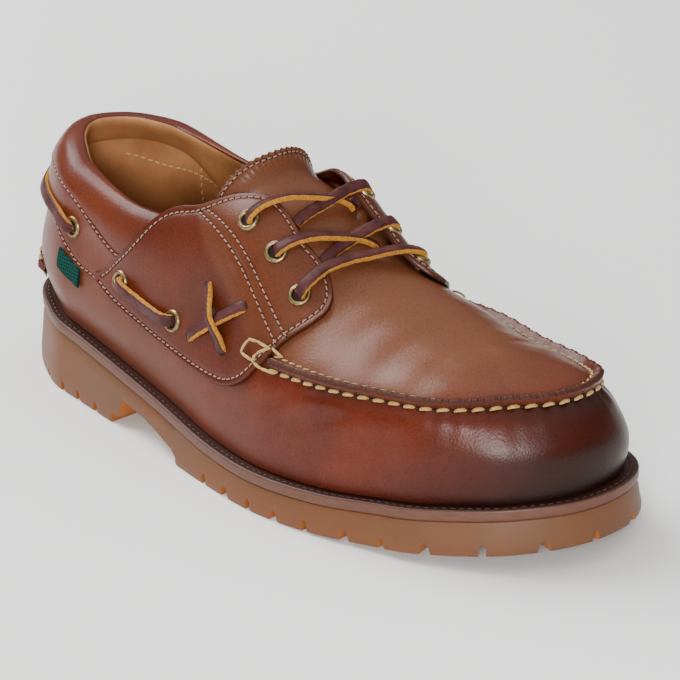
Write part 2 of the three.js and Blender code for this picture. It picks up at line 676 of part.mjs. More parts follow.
add('throat_lace_bar', surface(throatStrand(barStops.map(([part, height]) => (
  [barShare + MEDIAL_SHIFT * (part + 1) / 2, barOut * part, height]
)))), 0x5b2f30, 0.7);

// Side lace: points by share along and place up the section, or by place around the heel
function sideStrand(stops, steps) {
  const points = stops.map(([around, up, offset]) => skin(around, up, offset));
  const faces = stops.map(([around, up]) => outward(around, up));
  return strand(points, faces, steps);
}
const quarterFace = OVERLAY + OVERLAY_GAP;
for (const [name, side] of SIDES) {
  const stop = (share, up, offset) => [beside(share, side), up, offset];
  const [, second, third] = SIDE_EYELETS;
  const span = (part) => second.map((value, k) => value + (third[k] - value) * part);
  add(`side_lace_${name}`, sideStrand([
    stop(...span(0), LACE_REST), stop(...span(0.15), LACE_OVER),
    stop(...span(0.4), quarterFace + LACE_THICKNESS), stop(...span(0.6), quarterFace + LACE_THICKNESS),
    stop(...span(0.85), LACE_OVER), stop(...span(1), LACE_REST),
  ], 12), 0x5b2f30, 0.7);
  const leg = ([from, to], rest) => solid(sideStrand(spread(0, 1, 4).map((part, i) => {
    const share = from[0] + (to[0] - from[0]) * part;
    const height = COLLAR_HEIGHT * (from[1] + (to[1] - from[1]) * part);
    const around = beside(share, side);
    const rise = [0, 1, 1.2, 1, 0][i] * rest;
    return [around, upAt(around, height), quarterFace + LACE_THICKNESS / 2 + GAP + rise];
  }), 8));
  const cross = leg(CROSS_LEGS[0], LACE_THICKNESS * 0.6).add(leg(CROSS_LEGS[1], LACE_THICKNESS * 0.2));
  add(`side_cross_${name}`, surface(cross), 0x5b2f30, 0.7);
}

// Lace around the back of the heel, from the first side eyelet to its partner
function heelLace() {
  const [share, up] = SIDE_EYELETS[0];
  const end = beside(share, -1);
  const stops = spread(-1, 1, 14).map((part) => {
    const near = Math.abs(part);
    const around = end * part;
    const height = COLLAR_HEIGHT * (HEEL_LACE_HEIGHT - HEEL_LACE_DIP * near ** 3);
    const rest = OVERLAY_GAP + LACE_THICKNESS / 2 + GAP;
    if (near === 1) return [around, up, rest + GAP + EYELET_HEIGHT];
    return [around, upAt(around, height), near > 0.8 ? rest + GAP + EYELET_HEIGHT : rest];
  });
  return sideStrand(stops, 28);
}
add('heel_lace', heelLace(), 0x5b2f30, 0.7);

// Pull tag: a plain folded strip hanging from the lower seam of the back quarter
function tag() {
  const steps = spread(...TAG_PLACE, 3);
  const tops = spread(...TAG_TOP, 3);
  const hung = steps.map((share, i) => [beside(share, -1), COLLAR_HEIGHT * tops[i]]);
  return body(hung.map(([around, height]) => {
    const row = (offset) => [0, TAG_DROP].map((drop) => skin(around, upAt(around, height - drop), offset));
    return [...row(OVERLAY_GAP + TAG_THICKNESS), ...row(OVERLAY_GAP).reverse()];
  }));
}
add('side_tag', tag(), 0x0b4a42, 0.9);

// The origin is under the middle of the whole shoe, on the floor
const box = new THREE.Box3().setFromObject(shoe);
shoe.position.set(-(box.min.x + box.max.x) / 2, -(box.min.y + box.max.y) / 2, -box.min.z);

export default group;
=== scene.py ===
import math

import bmesh
import bpy
import numpy as np
from mathutils import Matrix, Vector


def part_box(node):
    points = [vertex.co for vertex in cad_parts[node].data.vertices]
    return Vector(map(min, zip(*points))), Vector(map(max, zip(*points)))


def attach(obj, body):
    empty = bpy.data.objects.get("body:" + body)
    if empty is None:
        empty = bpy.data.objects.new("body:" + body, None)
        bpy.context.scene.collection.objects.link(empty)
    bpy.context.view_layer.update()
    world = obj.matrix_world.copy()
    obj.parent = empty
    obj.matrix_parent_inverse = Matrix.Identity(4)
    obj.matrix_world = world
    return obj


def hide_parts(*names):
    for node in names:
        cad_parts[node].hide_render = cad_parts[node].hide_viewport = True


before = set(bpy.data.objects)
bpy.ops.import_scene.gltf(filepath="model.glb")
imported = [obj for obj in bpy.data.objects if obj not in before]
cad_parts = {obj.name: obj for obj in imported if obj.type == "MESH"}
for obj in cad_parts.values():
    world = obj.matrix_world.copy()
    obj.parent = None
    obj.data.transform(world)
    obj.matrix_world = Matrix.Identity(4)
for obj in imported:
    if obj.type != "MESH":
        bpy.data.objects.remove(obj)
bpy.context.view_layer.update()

# Outsole: the real one is a single gum rubber moulding, pressed in a steel mould and glued under the
# welt: a heel, an arched waist and a forefoot, with slots cut in from its sides for grip.

# Here and below sizes are in mm, x from heel to toe, y towards the medial side, z up. SECTIONS gives the
# form that the shoe is made over, spoke by spoke around it: turn 0 at the back of the heel, 12 at the toe.
LENGTH = 305.0
BALL_WIDTH = 114.0
COLLAR_HEIGHT = 100.0
GAP = 0.3
SIDE_FLARE = 1.2
SECTIONS = np.array([
    # spine, angle, edge, low, low_up, seam, seam_up, high, high_up
    [0.1475, 180, 0.391, 0.38, 0.48, 0.351, 0.72, 0.292, 1.0],
    [0.1475, 210, 0.368, 0.36, 0.48, 0.332, 0.7, 0.268, 0.99],
    [0.1475, 240, 0.339, 0.333, 0.46, 0.307, 0.7, 0.259, 0.97],
    [0.1475, 270, 0.357, 0.338, 0.45, 0.307, 0.7, 0.268, 0.95],
    [0.2623, 270, 0.396, 0.364, 0.4, 0.338, 0.62, 0.289, 0.88],
    [0.377, 270, 0.437, 0.395, 0.36, 0.364, 0.57, 0.263, 0.94],
    [0.4918, 270, 0.491, 0.439, 0.32, 0.373, 0.58, 0.241, 1.01],
    [0.6066, 270, 0.526, 0.474, 0.34, 0.404, 0.57, 0.211, 0.805],
    [0.7049, 270, 0.509, 0.465, 0.38, 0.408, 0.585, 0.193, 0.735],
    [0.8033, 270, 0.461, 0.421, 0.4, 0.355, 0.595, 0.175, 0.69],
    [0.8033, 300, 0.426, 0.382, 0.42, 0.303, 0.6, 0.158, 0.675],
    [0.8033, 330, 0.459, 0.404, 0.43, 0.294, 0.61, 0.149, 0.672],
    [0.8033, 360, 0.515, 0.461, 0.44, 0.351, 0.615, 0.175, 0.675],
    [0.8033, 390, 0.529, 0.491, 0.4, 0.373, 0.605, 0.184, 0.675],
    [0.8033, 420, 0.468, 0.43, 0.38, 0.338, 0.568, 0.167, 0.67],
    [0.8033, 450, 0.445, 0.404, 0.38, 0.307, 0.57, 0.158, 0.68],
    [0.7049, 450, 0.458, 0.421, 0.38, 0.338, 0.595, 0.175, 0.74],
    [0.6066, 450, 0.415, 0.386, 0.36, 0.36, 0.58, 0.193, 0.805],
    [0.4918, 450, 0.332, 0.333, 0.36, 0.325, 0.58, 0.228, 0.98],
    [0.377, 450, 0.301, 0.307, 0.38, 0.316, 0.58, 0.254, 0.94],
    [0.2623, 450, 0.327, 0.316, 0.4, 0.316, 0.62, 0.281, 0.92],
    [0.1475, 450, 0.336, 0.32, 0.45, 0.307, 0.7, 0.281, 0.95],
    [0.1475, 480, 0.351, 0.338, 0.46, 0.307, 0.7, 0.263, 0.97],
    [0.1475, 510, 0.393, 0.368, 0.48, 0.338, 0.72, 0.276, 0.99],
])
ROWS = len(SECTIONS)
WELT_TOP = [[0, 0.323], [0.197, 0.281], [0.361, 0.223], [0.525, 0.165], [0.689, 0.173], [0.852, 0.224], [1, 0.276]]
SPINE_SIDE = [[0, 0], [0.607, 0], [0.705, 0.013], [0.803, 0.035], [1, 0.035]]
WELT_THICKNESS = 4.6
WELT_STEP = 0.8
TOE_SPRING = 9.7
SPRING_START = 0.59
TREAD_DEPTH = 4.6
WAIST = (0.27, 0.43)
WAIST_HEIGHT = 12.5
BREAST_STEP = 6.0
# from how far inside the edge to how far outside it a notch is cut
NOTCH_ENDS = (-13.0, 4.0)
# half the width of a narrow and of a wide notch, at its rounded top and at the ground
NOTCH_HALF = ((0.8, 1.5), (1.2, 2.5))
# where each notch lies along the sole, and 1 for a wide one
NOTCHES = [(0.05, 0), (0.112, 0), (0.148, 0), (0.186, 0), (0.23, 0), (0.498, 0), (0.545, 1), (0.593, 0),
           (0.639, 1), (0.69, 0), (0.748, 1), (0.8, 0), (0.845, 1), (0.901, 0), (0.955, 1), (1, 0)]


def blend(p0, p1, p2, p3, before, span, after, share):
    """Smooth curve through four unevenly spaced values, at a share of its middle span."""
    start = ((p1 - p0) / before * span + (p2 - p1) / span * before) / (before + span)
    end = ((p2 - p1) / span * after + (p3 - p2) / after * span) / (span + after)
    t2 = share * share
    t3 = t2 * share
    return ((2 * t3 - 3 * t2 + 1) * p1 + (t3 - 2 * t2 + share) * span * start
            + (3 * t2 - 2 * t3) * p2 + (t3 - t2) * span * end)


def along(table, at, column=1):
    """A table's column at places along it, smooth from row to row."""
    rows = np.array(table, float)
    last = len(rows) - 1
    place = np.clip(np.asarray(at, float), rows[0, 0], rows[last, 0])
    i = np.clip(np.searchsorted(rows[:, 0], place, side="left") - 1, 0, last - 1)
    stops = [np.maximum(i - 1, 0), i, i + 1, np.minimum(i + 2, last)]
    x = [rows[k, 0] for k in stops]
    span = x[2] - x[1]
    before = np.where(x[1] > x[0], x[1] - x[0], span)
    after = np.where(x[3] > x[2], x[3] - x[2], span)
    return blend(*[rows[k, column] for k in stops], before, span, after, (place - x[1]) / span)


def welt_top(x):
    """Height of the welt's upper face, which rises to the heel and to the toe."""
    return COLLAR_HEIGHT * along(WELT_TOP, x / LENGTH)


def spoke(around):
    """Foot and direction of the spoke at a turn around the shoe."""
    turn = np.mod(around, ROWS)
    i = np.minimum(turn.astype(int), ROWS - 1)
    share = turn - i
    j = (i + 1) % ROWS
    angle = SECTIONS[i, 1]
    after = np.where(SECTIONS[j, 1] < angle, SECTIONS[j, 1] + 360, SECTIONS[j, 1])
    x = LENGTH * (SECTIONS[i, 0] + (SECTIONS[j, 0] - SECTIONS[i, 0]) * share)
    angle = np.radians(angle + (after - angle) * share)
    return x, BALL_WIDTH * along(SPINE_SIDE, x / LENGTH), np.cos(angle), np.sin(angle)


turns = np.arange(ROWS + 1.0)
x, y, cos, sin = spoke(turns)
reach = BALL_WIDTH * SECTIONS[turns.astype(int) % ROWS, 2]
SPANS = np.hypot(np.diff(x + reach * cos), np.diff(y + reach * sin))


def section(around, column):
    """A column of SECTIONS at a turn: a share of the ball's width or of the collar's height."""
    turn = np.mod(around, ROWS)
    i = np.minimum(turn.astype(int), ROWS - 1)
    rows = [SECTIONS[(i + k) % ROWS, column] for k in (-1, 0, 1, 2)]
    spans = [SPANS[(i + k) % ROWS] for k in (-1, 0, 1)]
    return blend(*rows, *spans, turn - i)


def beside(share, side):
    """Turn at a share of the length, on the lateral (-1) or the medial (1) side."""
    turn = np.interp(share, SECTIONS[3:10, 0], np.arange(3.0, 10))
    return turn if side < 0 else ROWS - turn


def edge_point(around, inset, height):
    """Point inside the sole's outline at a turn, at a height."""
    x, y, cos, sin = spoke(around)
    reach = BALL_WIDTH * section(around, 2) - inset
    x = x + reach * cos
    return np.stack([x, y + reach * sin, height(x) if callable(height) else x * 0 + height], -1)


# The frame's own origin lies under the middle of the whole shoe
rim = edge_point(np.arange(0, ROWS, 1 / 3), -SIDE_FLARE, 0)
low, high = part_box("outsole")
SHIFT = np.array([low[0] * 1000 - rim[:, 0].min(), low[1] * 1000 - rim[:, 1].min(), 0.0])


def srgb(code):
    """Turns an sRGB hex value to linear."""
    values = [int(code[i:i + 2], 16) / 255 for i in (1, 3, 5)]
    return [v / 12.92 if v <= 0.04045 else ((v + 0.055) / 1.055) ** 2.4 for v in values] + [1]


def add(tree, kind, inputs=(), out=0, **settings):
    """Adds a node with its settings and links, and gives back one of its outputs."""
    made = tree.nodes.new("ShaderNode" + kind)
    for name, value in settings.items():
        setattr(made, name, value)
    for socket, value in dict(inputs).items():
        if isinstance(value, bpy.types.NodeSocket):
            tree.links.new(value, made.inputs[socket])
        else:
            made.inputs[socket].default_value = value
    return made.outputs[out]


def new_material(name, **inputs):
    """New material with its shader's inputs set, and the place that its patterns follow."""
    material = bpy.data.materials.new(name)
    material.use_nodes = True
    tree = material.node_tree
    shader = tree.nodes["Principled BSDF"]
    for socket, value in inputs.items():
        shader.inputs[socket.replace("_", " ")].default_value = value
    return material, tree, shader, add(tree, "TexCoord", out="Object")


def gum_rubber(name, body, edge, stain):
    """Gum rubber, pressed in a mould: matt and waxy, going over to its edge colour in the lowest 9 mm above the
    ground, with faint clouds 26 mm across and small specks of dirt."""
    material, tree, shader, place = new_material(name, Roughness=0.5, Specular_IOR_Level=0.4,
                                                 Subsurface_Weight=0.05, Subsurface_Scale=0.003)
    clouds = add(tree, "TexNoise", {"Vector": place, "Scale": 1000 / 26, "Detail": 4, "Roughness": 0.6})
    clouds = add(tree, "MapRange", {0: clouds, 1: 0.35, 2: 0.7, 3: 0, 4: 0.6})
    colour = add(tree, "Mix", {0: clouds, 6: body, 7: edge}, 2, data_type="RGBA")
    # the colour shifts to the edge colour by height alone, most at the ground
    height = add(tree, "SeparateXYZ", {0: place}, 2)
    low = add(tree, "MapRange", {0: height, 1: 0.001, 2: 0.009, 3: 0.6, 4: 0})
    colour = add(tree, "Mix", {0: low, 6: colour, 7: edge}, 2, data_type="RGBA")
    specks = add(tree, "TexNoise", {"Vector": place, "Scale": 1000 / 1.4, "Detail": 2, "Roughness": 0.7})
    share = add(tree, "MapRange", {0: specks, 1: 0.62, 2: 0.74, 3: 0, 4: 0.4})
    colour = add(tree, "Mix", {0: share, 6: colour, 7: stain}, 2, data_type="RGBA")
    tree.links.new(colour, shader.inputs["Base Color"])
    waves = add(tree, "TexNoise", {"Vector": place, "Scale": 1000 / 9, "Detail": 2})
    bump = add(tree, "Bump", {"Height": waves, "Distance": 0.00025, "Strength": 0.35})
    bump = add(tree, "Bump", {"Height": specks, "Distance": 0.00008, "Strength": 0.5, "Normal": bump})
    tree.links.new(bump, shader.inputs["Normal"])
    return material


def new_object(name, points, faces, materials, face_material=None, smooth=True):
    """Object from points in mm and faces."""
    mesh = bpy.data.meshes.new(name)
    mesh.from_pydata(((np.asarray(points) + SHIFT) / 1000).tolist(), [], [list(map(int, f)) for f in faces])
    for material in materials:
        mesh.materials.append(material)
    if face_material is not None:
        mesh.polygons.foreach_set("material_index", np.asarray(face_material, dtype=np.int32))
    mesh.polygons.foreach_set("use_smooth", [smooth] * len(mesh.polygons))
    mesh.update()
    made = bpy.data.objects.new(name, mesh)
    bpy.context.scene.collection.objects.link(made)
    return made


def grid_faces(rows, columns, loop_rows=False, loop_columns=False, start=0):
    """Faces between the points of a grid, closed on itself where asked."""
    i = np.arange(rows if loop_rows else rows - 1)
    j = np.arange(columns if loop_columns else columns - 1)
    i, j = np.meshgrid(i, j, indexing="ij")
    k, m = (i + 1) % rows, (j + 1) % columns
    quads = np.stack([i * columns + j, k * columns + j, k * columns + m, i * columns + m], -1)
    return quads.reshape(-1, 4) + start


def turn_out(piece):
    """Turns all faces of a piece outwards."""
    mesh = piece.data
    shape = bmesh.new()
    shape.from_mesh(mesh)
    bmesh.ops.recalc_face_normals(shape, faces=shape.faces)
    shape.to_mesh(mesh)
    shape.free()
    return piece


def settle(piece, slot, *replaced):
    """Takes loose points off a piece and tells the frame what it rides on and stands for."""
    shape = bmesh.new()
    shape.from_mesh(piece.data)
    bmesh.ops.delete(shape, geom=[v for v in shape.verts if not v.link_faces], context="VERTS")
    shape.to_mesh(piece.data)
    shape.free()
    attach(piece, "root")
    if replaced:
        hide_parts(*replaced)
    return piece


def sole_bottom(x):
    """Height of the sole's underside, level at first and rising under the toe."""
    share = np.maximum(x / LENGTH - SPRING_START, 0) / (1 - SPRING_START)
    return TOE_SPRING * share * share


# The moulded skin is dulled by handling, and the rubber shows fresher and more orange inside the slots
gum = gum_rubber("gum rubber", srgb("#613e23"), srgb("#723f1c"), srgb("#442816"))
cut_gum = gum_rubber("gum rubber in the slots", srgb("#9a5a26"), srgb("#8c4f20"), srgb("#62391a"))
places = np.linspace(0, ROWS, 576, endpoint=False)
# inset from the outline, level from the ground to the top: the sides stand out below and draw in under the welt
profile = [(-SIDE_FLARE + 1.2, 0.0), (-SIDE_FLARE + 0.35, 0.0), (-SIDE_FLARE, 0.06), (-SIDE_FLARE, 0.25),
           (-SIDE_FLARE + 0.7, 0.5), (-SIDE_FLARE + 1.2, 0.75), (WELT_STEP, 0.97), (WELT_STEP + 0.5, 1.0)]
rings = []
for inset, level in profile:
    bottom = edge_point(places, inset, sole_bottom)
    top = edge_point(places, inset, lambda x: welt_top(x) - WELT_THICKNESS - GAP)
    rings.append(bottom + (top - bottom) * level)
for ring, rounded in zip(rings[1:3], (0.15, 0.5)):
    ring[:, 2] += rounded
x, y, _, _ = spoke(places)


def inner_rings(ring, shares):
    """Rings at shares of the way from the spokes' feet to a ring."""
    middle = np.stack([x, y, ring[:, 2]], -1)
    return [middle + (ring - middle) * share for share in shares]


low_rings = inner_rings(rings[0], (0.0, 0.45, 0.9))
high_rings = inner_rings(rings[-1], (0.9, 0.45, 0.0))
for ring in low_rings:
    ring[:, 2] = sole_bottom(ring[:, 0])
for ring in high_rings:
    ring[:, 2] = welt_top(ring[:, 0]) - WELT_THICKNESS - GAP
stack = np.stack(low_rings + rings + high_rings)


def zip_shut(rows, columns):
    """Closes the first and the last ring of a stack, from side to side."""
    faces = []
    for start, flip in ((0, True), ((rows - 1) * columns, False)):
        for j in range(columns // 2 - 1):
            quad = [start + k for k in (j, j + 1, columns - 2 - j, columns - 1 - j)]
            faces.append(quad[::-1] if flip else quad)
    return faces


faces = list(grid_faces(len(stack), len(places), loop_columns=True)) + zip_shut(len(stack), len(places))
outsole = new_object("outsole_rubber", stack.reshape(-1, 3), faces, [gum, cut_gum])
merge = outsole.modifiers.new("merge", "WELD")
merge.merge_threshold = 2e-5
turn_out(outsole)


def cutter(outline, place):
    """Straight bar to cut out of the sole, with the same outline at both of its ends."""
    points = [place(end, a, b) for end in (0, 1) for a, b in outline]
    count = len(outline)
    faces = [list(range(count)), list(range(2 * count - 1, count - 1, -1))]
    faces += [[j, count + j, count + (j + 1) % count, (j + 1) % count] for j in range(count)]
    return points, faces


def notch_place(share, side):
    """Turn of a notch, which may also lie round the heel or the toe."""
    first, last = SECTIONS[0][0], SECTIONS[ROWS // 2][0]
    if first <= share <= last:
        return float(beside(share, side))
    place = 3 * share / first if share < first else 9 + 3 * (share - last) / (1 - last)
    return place if side < 0 else ROWS - place


points, faces, used = [], [], set()
for share, wide in NOTCHES:
    for side in (-1, 1):
        around = notch_place(share, side)
        if round(around, 3) in used:
            continue
        used.add(round(around, 3))
        foot = edge_point(np.array([around]), 0, sole_bottom)[0]
        _, _, c, s = (float(v[0]) for v in spoke(np.array([around])))
        top_half, low_half = NOTCH_HALF[wide]
        shoulder = TREAD_DEPTH - 1.2
        crown = [(top_half * math.sin(t), TREAD_DEPTH - 1 + math.cos(t)) for t in np.radians([-75, -35, 0, 35, 75])]
        outline = [(-low_half - 0.6, -3.0), (-low_half, 0.0), (-top_half - 0.5, shoulder), *crown,
                   (top_half + 0.5, shoulder), (low_half, 0.0), (low_half + 0.6, -3.0)]
        new_points, new_faces = cutter(outline, lambda end, a, b: (
            foot[0] + c * NOTCH_ENDS[end] - s * a, foot[1] + s * NOTCH_ENDS[end] + c * a, foot[2] + b))
        faces += [[len(points) + k for k in face] for face in new_faces]
        points += new_points
notches = turn_out(new_object("notch_cutters", points, faces, [cut_gum, cut_gum], [1] * len(faces), smooth=False))
breast, ball = WAIST[0] * LENGTH, WAIST[1] * LENGTH
outline = [(breast, -2.0), (breast, TREAD_DEPTH), (breast + BREAST_STEP, TREAD_DEPTH),
           (breast + BREAST_STEP + 1, WAIST_HEIGHT), ((breast + ball) / 2, WAIST_HEIGHT * 0.85),
           (ball - 4, TREAD_DEPTH + 1), (ball, TREAD_DEPTH - 1), (ball, -2.0)]
points, faces = cutter(outline, lambda end, a, b: (a, (-120, 120)[end], b))
waist = turn_out(new_object("waist_cutter", points, faces, [cut_gum, cut_gum], smooth=False))
for tool in (waist, notches):
    cut = outsole.modifiers.new(tool.name, "BOOLEAN")
    cut.object = tool
    cut.solver = "EXACT"
    cut.use_self = tool is notches
soften = outsole.modifiers.new("soften", "BEVEL")
soften.width = 0.0003
soften.segments = 2
soften.limit_method = "ANGLE"
soften.angle_limit = math.radians(50)


def bake(piece, angle=None):
    """Applies a piece's modifiers, and keeps edges sharper than the angle crisp."""
    depsgraph = bpy.context.evaluated_depsgraph_get()
    mesh = bpy.data.meshes.new_from_object(piece.evaluated_get(depsgraph))
    piece.modifiers.clear()
    piece.data = mesh
    if angle is not None:
        mesh.polygons.foreach_set("use_smooth", [True] * len(mesh.polygons))
        mesh.set_sharp_from_angle(angle=math.radians(angle))
    return piece


bake(outsole, 35)
for tool in (waist, notches):
    bpy.data.objects.remove(tool)
settle(outsole, "gum_rubber", "outsole")


# Welt: a strip of burnished leather with a rounded cut edge, lying on the rubber; its top, under the overhang of the
# upper, is painted dark with shade. A fine dark lockstitch runs in the groove beside the upper.
def leather_board(name, top, edge):
    """Vegetable tanned strip, its top burnished and painted dark as the shade under the upper where it faces up, and
    its cut edge sanded and waxed: a smooth mid brown edge with the faint lie of the fibres in it, 6 mm long."""
    material, tree, shader, place = new_material(name, Roughness=0.48, Specular_IOR_Level=0.4)
    stretch = add(tree, "Mapping", {0: place, 3: (1, 1, 3)})
    fibres = add(tree, "TexNoise", {"Vector": stretch, "Scale": 1000 / 6, "Detail": 3, "Roughness": 0.55})
    share = add(tree, "MapRange", {0: fibres, 1: 0.4, 2: 0.8, 3: 0, 4: 0.45})
    cut = add(tree, "Mix", {0: share, 6: edge, 7: top}, 2, data_type="RGBA")
    # faces that point up take the dark top colour: painted shade under the upper
    up = add(tree, "SeparateXYZ", {0: add(tree, "NewGeometry", out="True Normal")}, 2)
    share = add(tree, "MapRange", {0: up, 1: 0.3, 2: 0.85, 3: 0, 4: 1})
    colour = add(tree, "Mix", {0: share, 6: cut, 7: top}, 2, data_type="RGBA")
    tree.links.new(colour, shader.inputs["Base Color"])
    grain = add(tree, "TexNoise", {"Vector": place, "Scale": 1000 / 0.9, "Detail": 2})
    bump = add(tree, "Bump", {"Height": fibres, "Distance": 0.0001, "Strength": 0.4})
    bump = add(tree, "Bump", {"Height": grain, "Distance": 0.00006, "Strength": 0.5, "Normal": bump})
    tree.links.new(bump, shader.inputs["Normal"])
    return material


def ring_body(name, stack, materials):
    """Closed body from a stack of rings."""
    rows, columns = stack.shape[:2]
    faces = list(grid_faces(rows, columns, loop_columns=True)) + zip_shut(rows, columns)
    return turn_out(new_object(name, stack.reshape(-1, 3), faces, materials))


welt_board = leather_board("burnished welt leather, top in painted shade", srgb("#3a1c14"), srgb("#5f3b2b"))
places = np.linspace(0, ROWS, 480, endpoint=False)
# inset from the outline and drop from the top, from the underside round the cut edge to the groove
profile = [(6, WELT_THICKNESS), (0.5, WELT_THICKNESS), (0.08, WELT_THICKNESS - 0.4), (0, WELT_THICKNESS * 0.6),
           (0, 1.0), (0.12, 0.4), (0.5, 0.1), (1.3, 0.0), (2.6, 0.35), (3.6, 0.75), (4.8, 0.8), (6.5, 0.7), (9, 0.7)]
rings = [edge_point(places, inset, lambda x: welt_top(x) - drop) for inset, drop in profile]
x, y, _, _ = spoke(places)
under, over_it = [np.stack([x, y, welt_top(x) - drop], -1) for drop in (WELT_THICKNESS, 0.7)]
settle(ring_body("welt_strip", np.stack([under, *rings, over_it]), [welt_board]), "brown_midsole", "welt")


def thread(name, colour, dark, strand_mm):
    """Twisted and waxed thread: soft light and dark bands, the dark ones painted shade where one strand goes under
    the next.
    """
    material, tree, shader, place = new_material(name, Roughness=0.6, Sheen_Weight=0.2, Sheen_Roughness=0.4)
    strands = add(tree, "TexNoise", {"Vector": place, "Scale": 1000 / strand_mm, "Detail": 3, "Roughness": 0.6})
    share = add(tree, "MapRange", {0: strands, 1: 0.35, 2: 0.65, 3: 0, 4: 1})
    colour = add(tree, "Mix", {0: share, 6: dark, 7: colour}, 2, data_type="RGBA")
    tree.links.new(colour, shader.inputs["Base Color"])
    bump = add(tree, "Bump", {"Height": strands, "Distance": strand_mm * 0.00035, "Strength": 0.8})
    tree.links.new(bump, shader.inputs["Normal"])
    return material


def run_along(path):
    """Length walked along a path, at each of its points."""
    return np.concatenate([[0], np.cumsum(np.linalg.norm(np.diff(path, axis=0), axis=1))])


def at_run(at, run, table):
    """All columns of a table at given lengths along a path."""
    return np.stack([np.interp(at, run, table[:, k]) for k in range(table.shape[1])], -1)


def walk(path, pitch):
    """Evenly spaced points along a path, and the step between them."""
    run = run_along(path)
    count = max(int(round(run[-1] / pitch)), 1)
    return at_run((np.arange(count) + 0.5) * run[-1] / count, run, path), run[-1] / count


def stitch_mesh(middles, aheads, ups, length, width, thick, sink=0.35, slant=0.0, sides=8):
    """Stitches: short bowed strands that dip into the leather at both ends."""
    shape_t = np.array([-1.0, -0.92, -0.7, -0.3, 0.3, 0.7, 0.92, 1.0])
    shape_r = np.array([0.12, 0.5, 0.85, 1.0, 1.0, 0.85, 0.5, 0.12])
    angle = np.linspace(0, 2 * np.pi, sides, endpoint=False)
    points, faces = [], []
    rows = len(shape_t)
    for middle, ahead, up in zip(middles, aheads, ups):
        ahead = ahead / np.linalg.norm(ahead)
        side = np.cross(up, ahead)
        side /= np.linalg.norm(side)
        up = np.cross(ahead, side)
        ahead = ahead + side * slant
        start = len(points) * rows * sides
        bow = (1 - shape_t ** 2) * thick * 0.9 - sink
        ring = (middle + ahead * (shape_t[:, None] * length / 2) + up * bow[:, None])[:, None, :]
        across = shape_r[:, None, None] * (side * (np.cos(angle)[None, :, None] * width / 2)
                                           + up * (np.sin(angle)[None, :, None] * thick / 2))
        points.append((ring + across).reshape(-1, 3))
        faces.append(grid_faces(rows, sides, loop_columns=True, start=start))
    return np.concatenate(points), np.concatenate(faces)


def directions(points):
    """Unit steps along a path."""
    ahead = np.gradient(points, axis=0)
    return ahead / np.linalg.norm(ahead, axis=1, keepdims=True)


dark_thread = thread("waxed dark thread", srgb("#3a2016"), srgb("#1e0d07"), 0.35)
line = edge_point(np.linspace(0, ROWS, 700), 2.7, lambda x: welt_top(x) - 0.15)
middles, _ = walk(line, 3.4)
ups = np.zeros_like(middles)
ups[:, 2] = 1
points, faces = stitch_mesh(middles, directions(middles), ups, 2.4, 0.6, 0.4, 0.3)
settle(turn_out(new_object("welt_stitches", points, faces, [dark_thread])), "brown_midsole")


# Insole: a board cut to the inside of the shoe, covered in tan lining leather and glued down. Only its
# back half shows, through the collar, so the plain solid is kept and covered.
def lining_leather(name, light, dark):
    """Vegetable tanned calf lining, undyed: an even warm tan with soft clouds 22 mm across, no gloss."""
    material, tree, shader, place = new_material(name, Roughness=0.6, Specular_IOR_Level=0.35)
    clouds = add(tree, "TexNoise", {"Vector": place, "Scale": 1000 / 22, "Detail": 4, "Roughness": 0.6})
    share = add(tree, "MapRange", {0: clouds, 1: 0.35, 2: 0.7, 3: 0, 4: 1})
    colour = add(tree, "Mix", {0: share, 6: dark, 7: light}, 2, data_type="RGBA")
    tree.links.new(colour, shader.inputs["Base Color"])
    grain = add(tree, "TexNoise", {"Vector": place, "Scale": 1000 / 0.7, "Detail": 3})
    bump = add(tree, "Bump", {"Height": grain, "Distance": 0.00008, "Strength": 0.5})
    tree.links.new(bump, shader.inputs["Normal"])
    return material


# the tan is set a little darker than the leather's own, as painted shade for the inside of the shoe
tan_lining = lining_leather("tan lining leather", srgb("#bd8353"), srgb("#9f6a3e"))
insole = bpy.data.objects["insole"]
insole.data.materials.clear()
insole.data.materials.append(tan_lining)


# Upper: waxed pull-up leather about 2 mm thick, wetted and drawn over the last: a wall all round, and a plug set into
# it over the toes. It is lighter on the plug, where it is stretched and with a painted sheen, and low round the heel
# with a painted reflection of the floor; it is burnished dark at the toe, painted dark with shade along the welt and
# at the foot of the moc seam, and lined at the back. A level up the form is 0 at the welt, 2 at the moc seam and 4 at
# the crest.
# thickness of leather and lining together
WALL = 2.0
THROAT_WIDTH = 45.0
THROAT_FRONT = 0.56
# along, height of the seam under the collar
COLLAR_FOOT = [[0, 0.88], [0.1, 0.88], [0.16, 0.82], [0.2, 0.75], [0.25, 0.68], [0.33, 0.66]]
FLEX_CREASES = [
    # where it crosses the crest, slant, depth, width, how far it reaches to each side
    (214, 0.30, 0.55, 6.5, 34), (228, 0.18, 0.85, 7.0, 40), (243, 0.05, 0.60, 6.0, 36), (200, 0.34, 0.35, 6.0, 26),
]
SIDE_FOLDS = [
    # x, z, length, height, depth, lean of soft dents in the wall under the flex line
    (206, 42, 22, 5, 0.7, 0.5), (228, 38, 20, 5, 0.6, 0.3), (186, 44, 18, 5, 0.5, 0.7), (120, 32, 36, 6, 0.4, 0.1),
]
FEATHER = 5.3
CREST = [[0.148, 1.35], [0.262, 1.28], [0.377, 1.19], [0.492, 1.085], [0.607, 0.86], [0.705, 0.77], [0.803, 0.712]]
# mm from level to level, for an even curve up the form
UP_SPANS = np.array([15.0, 15, 24, 30, 28, 28])
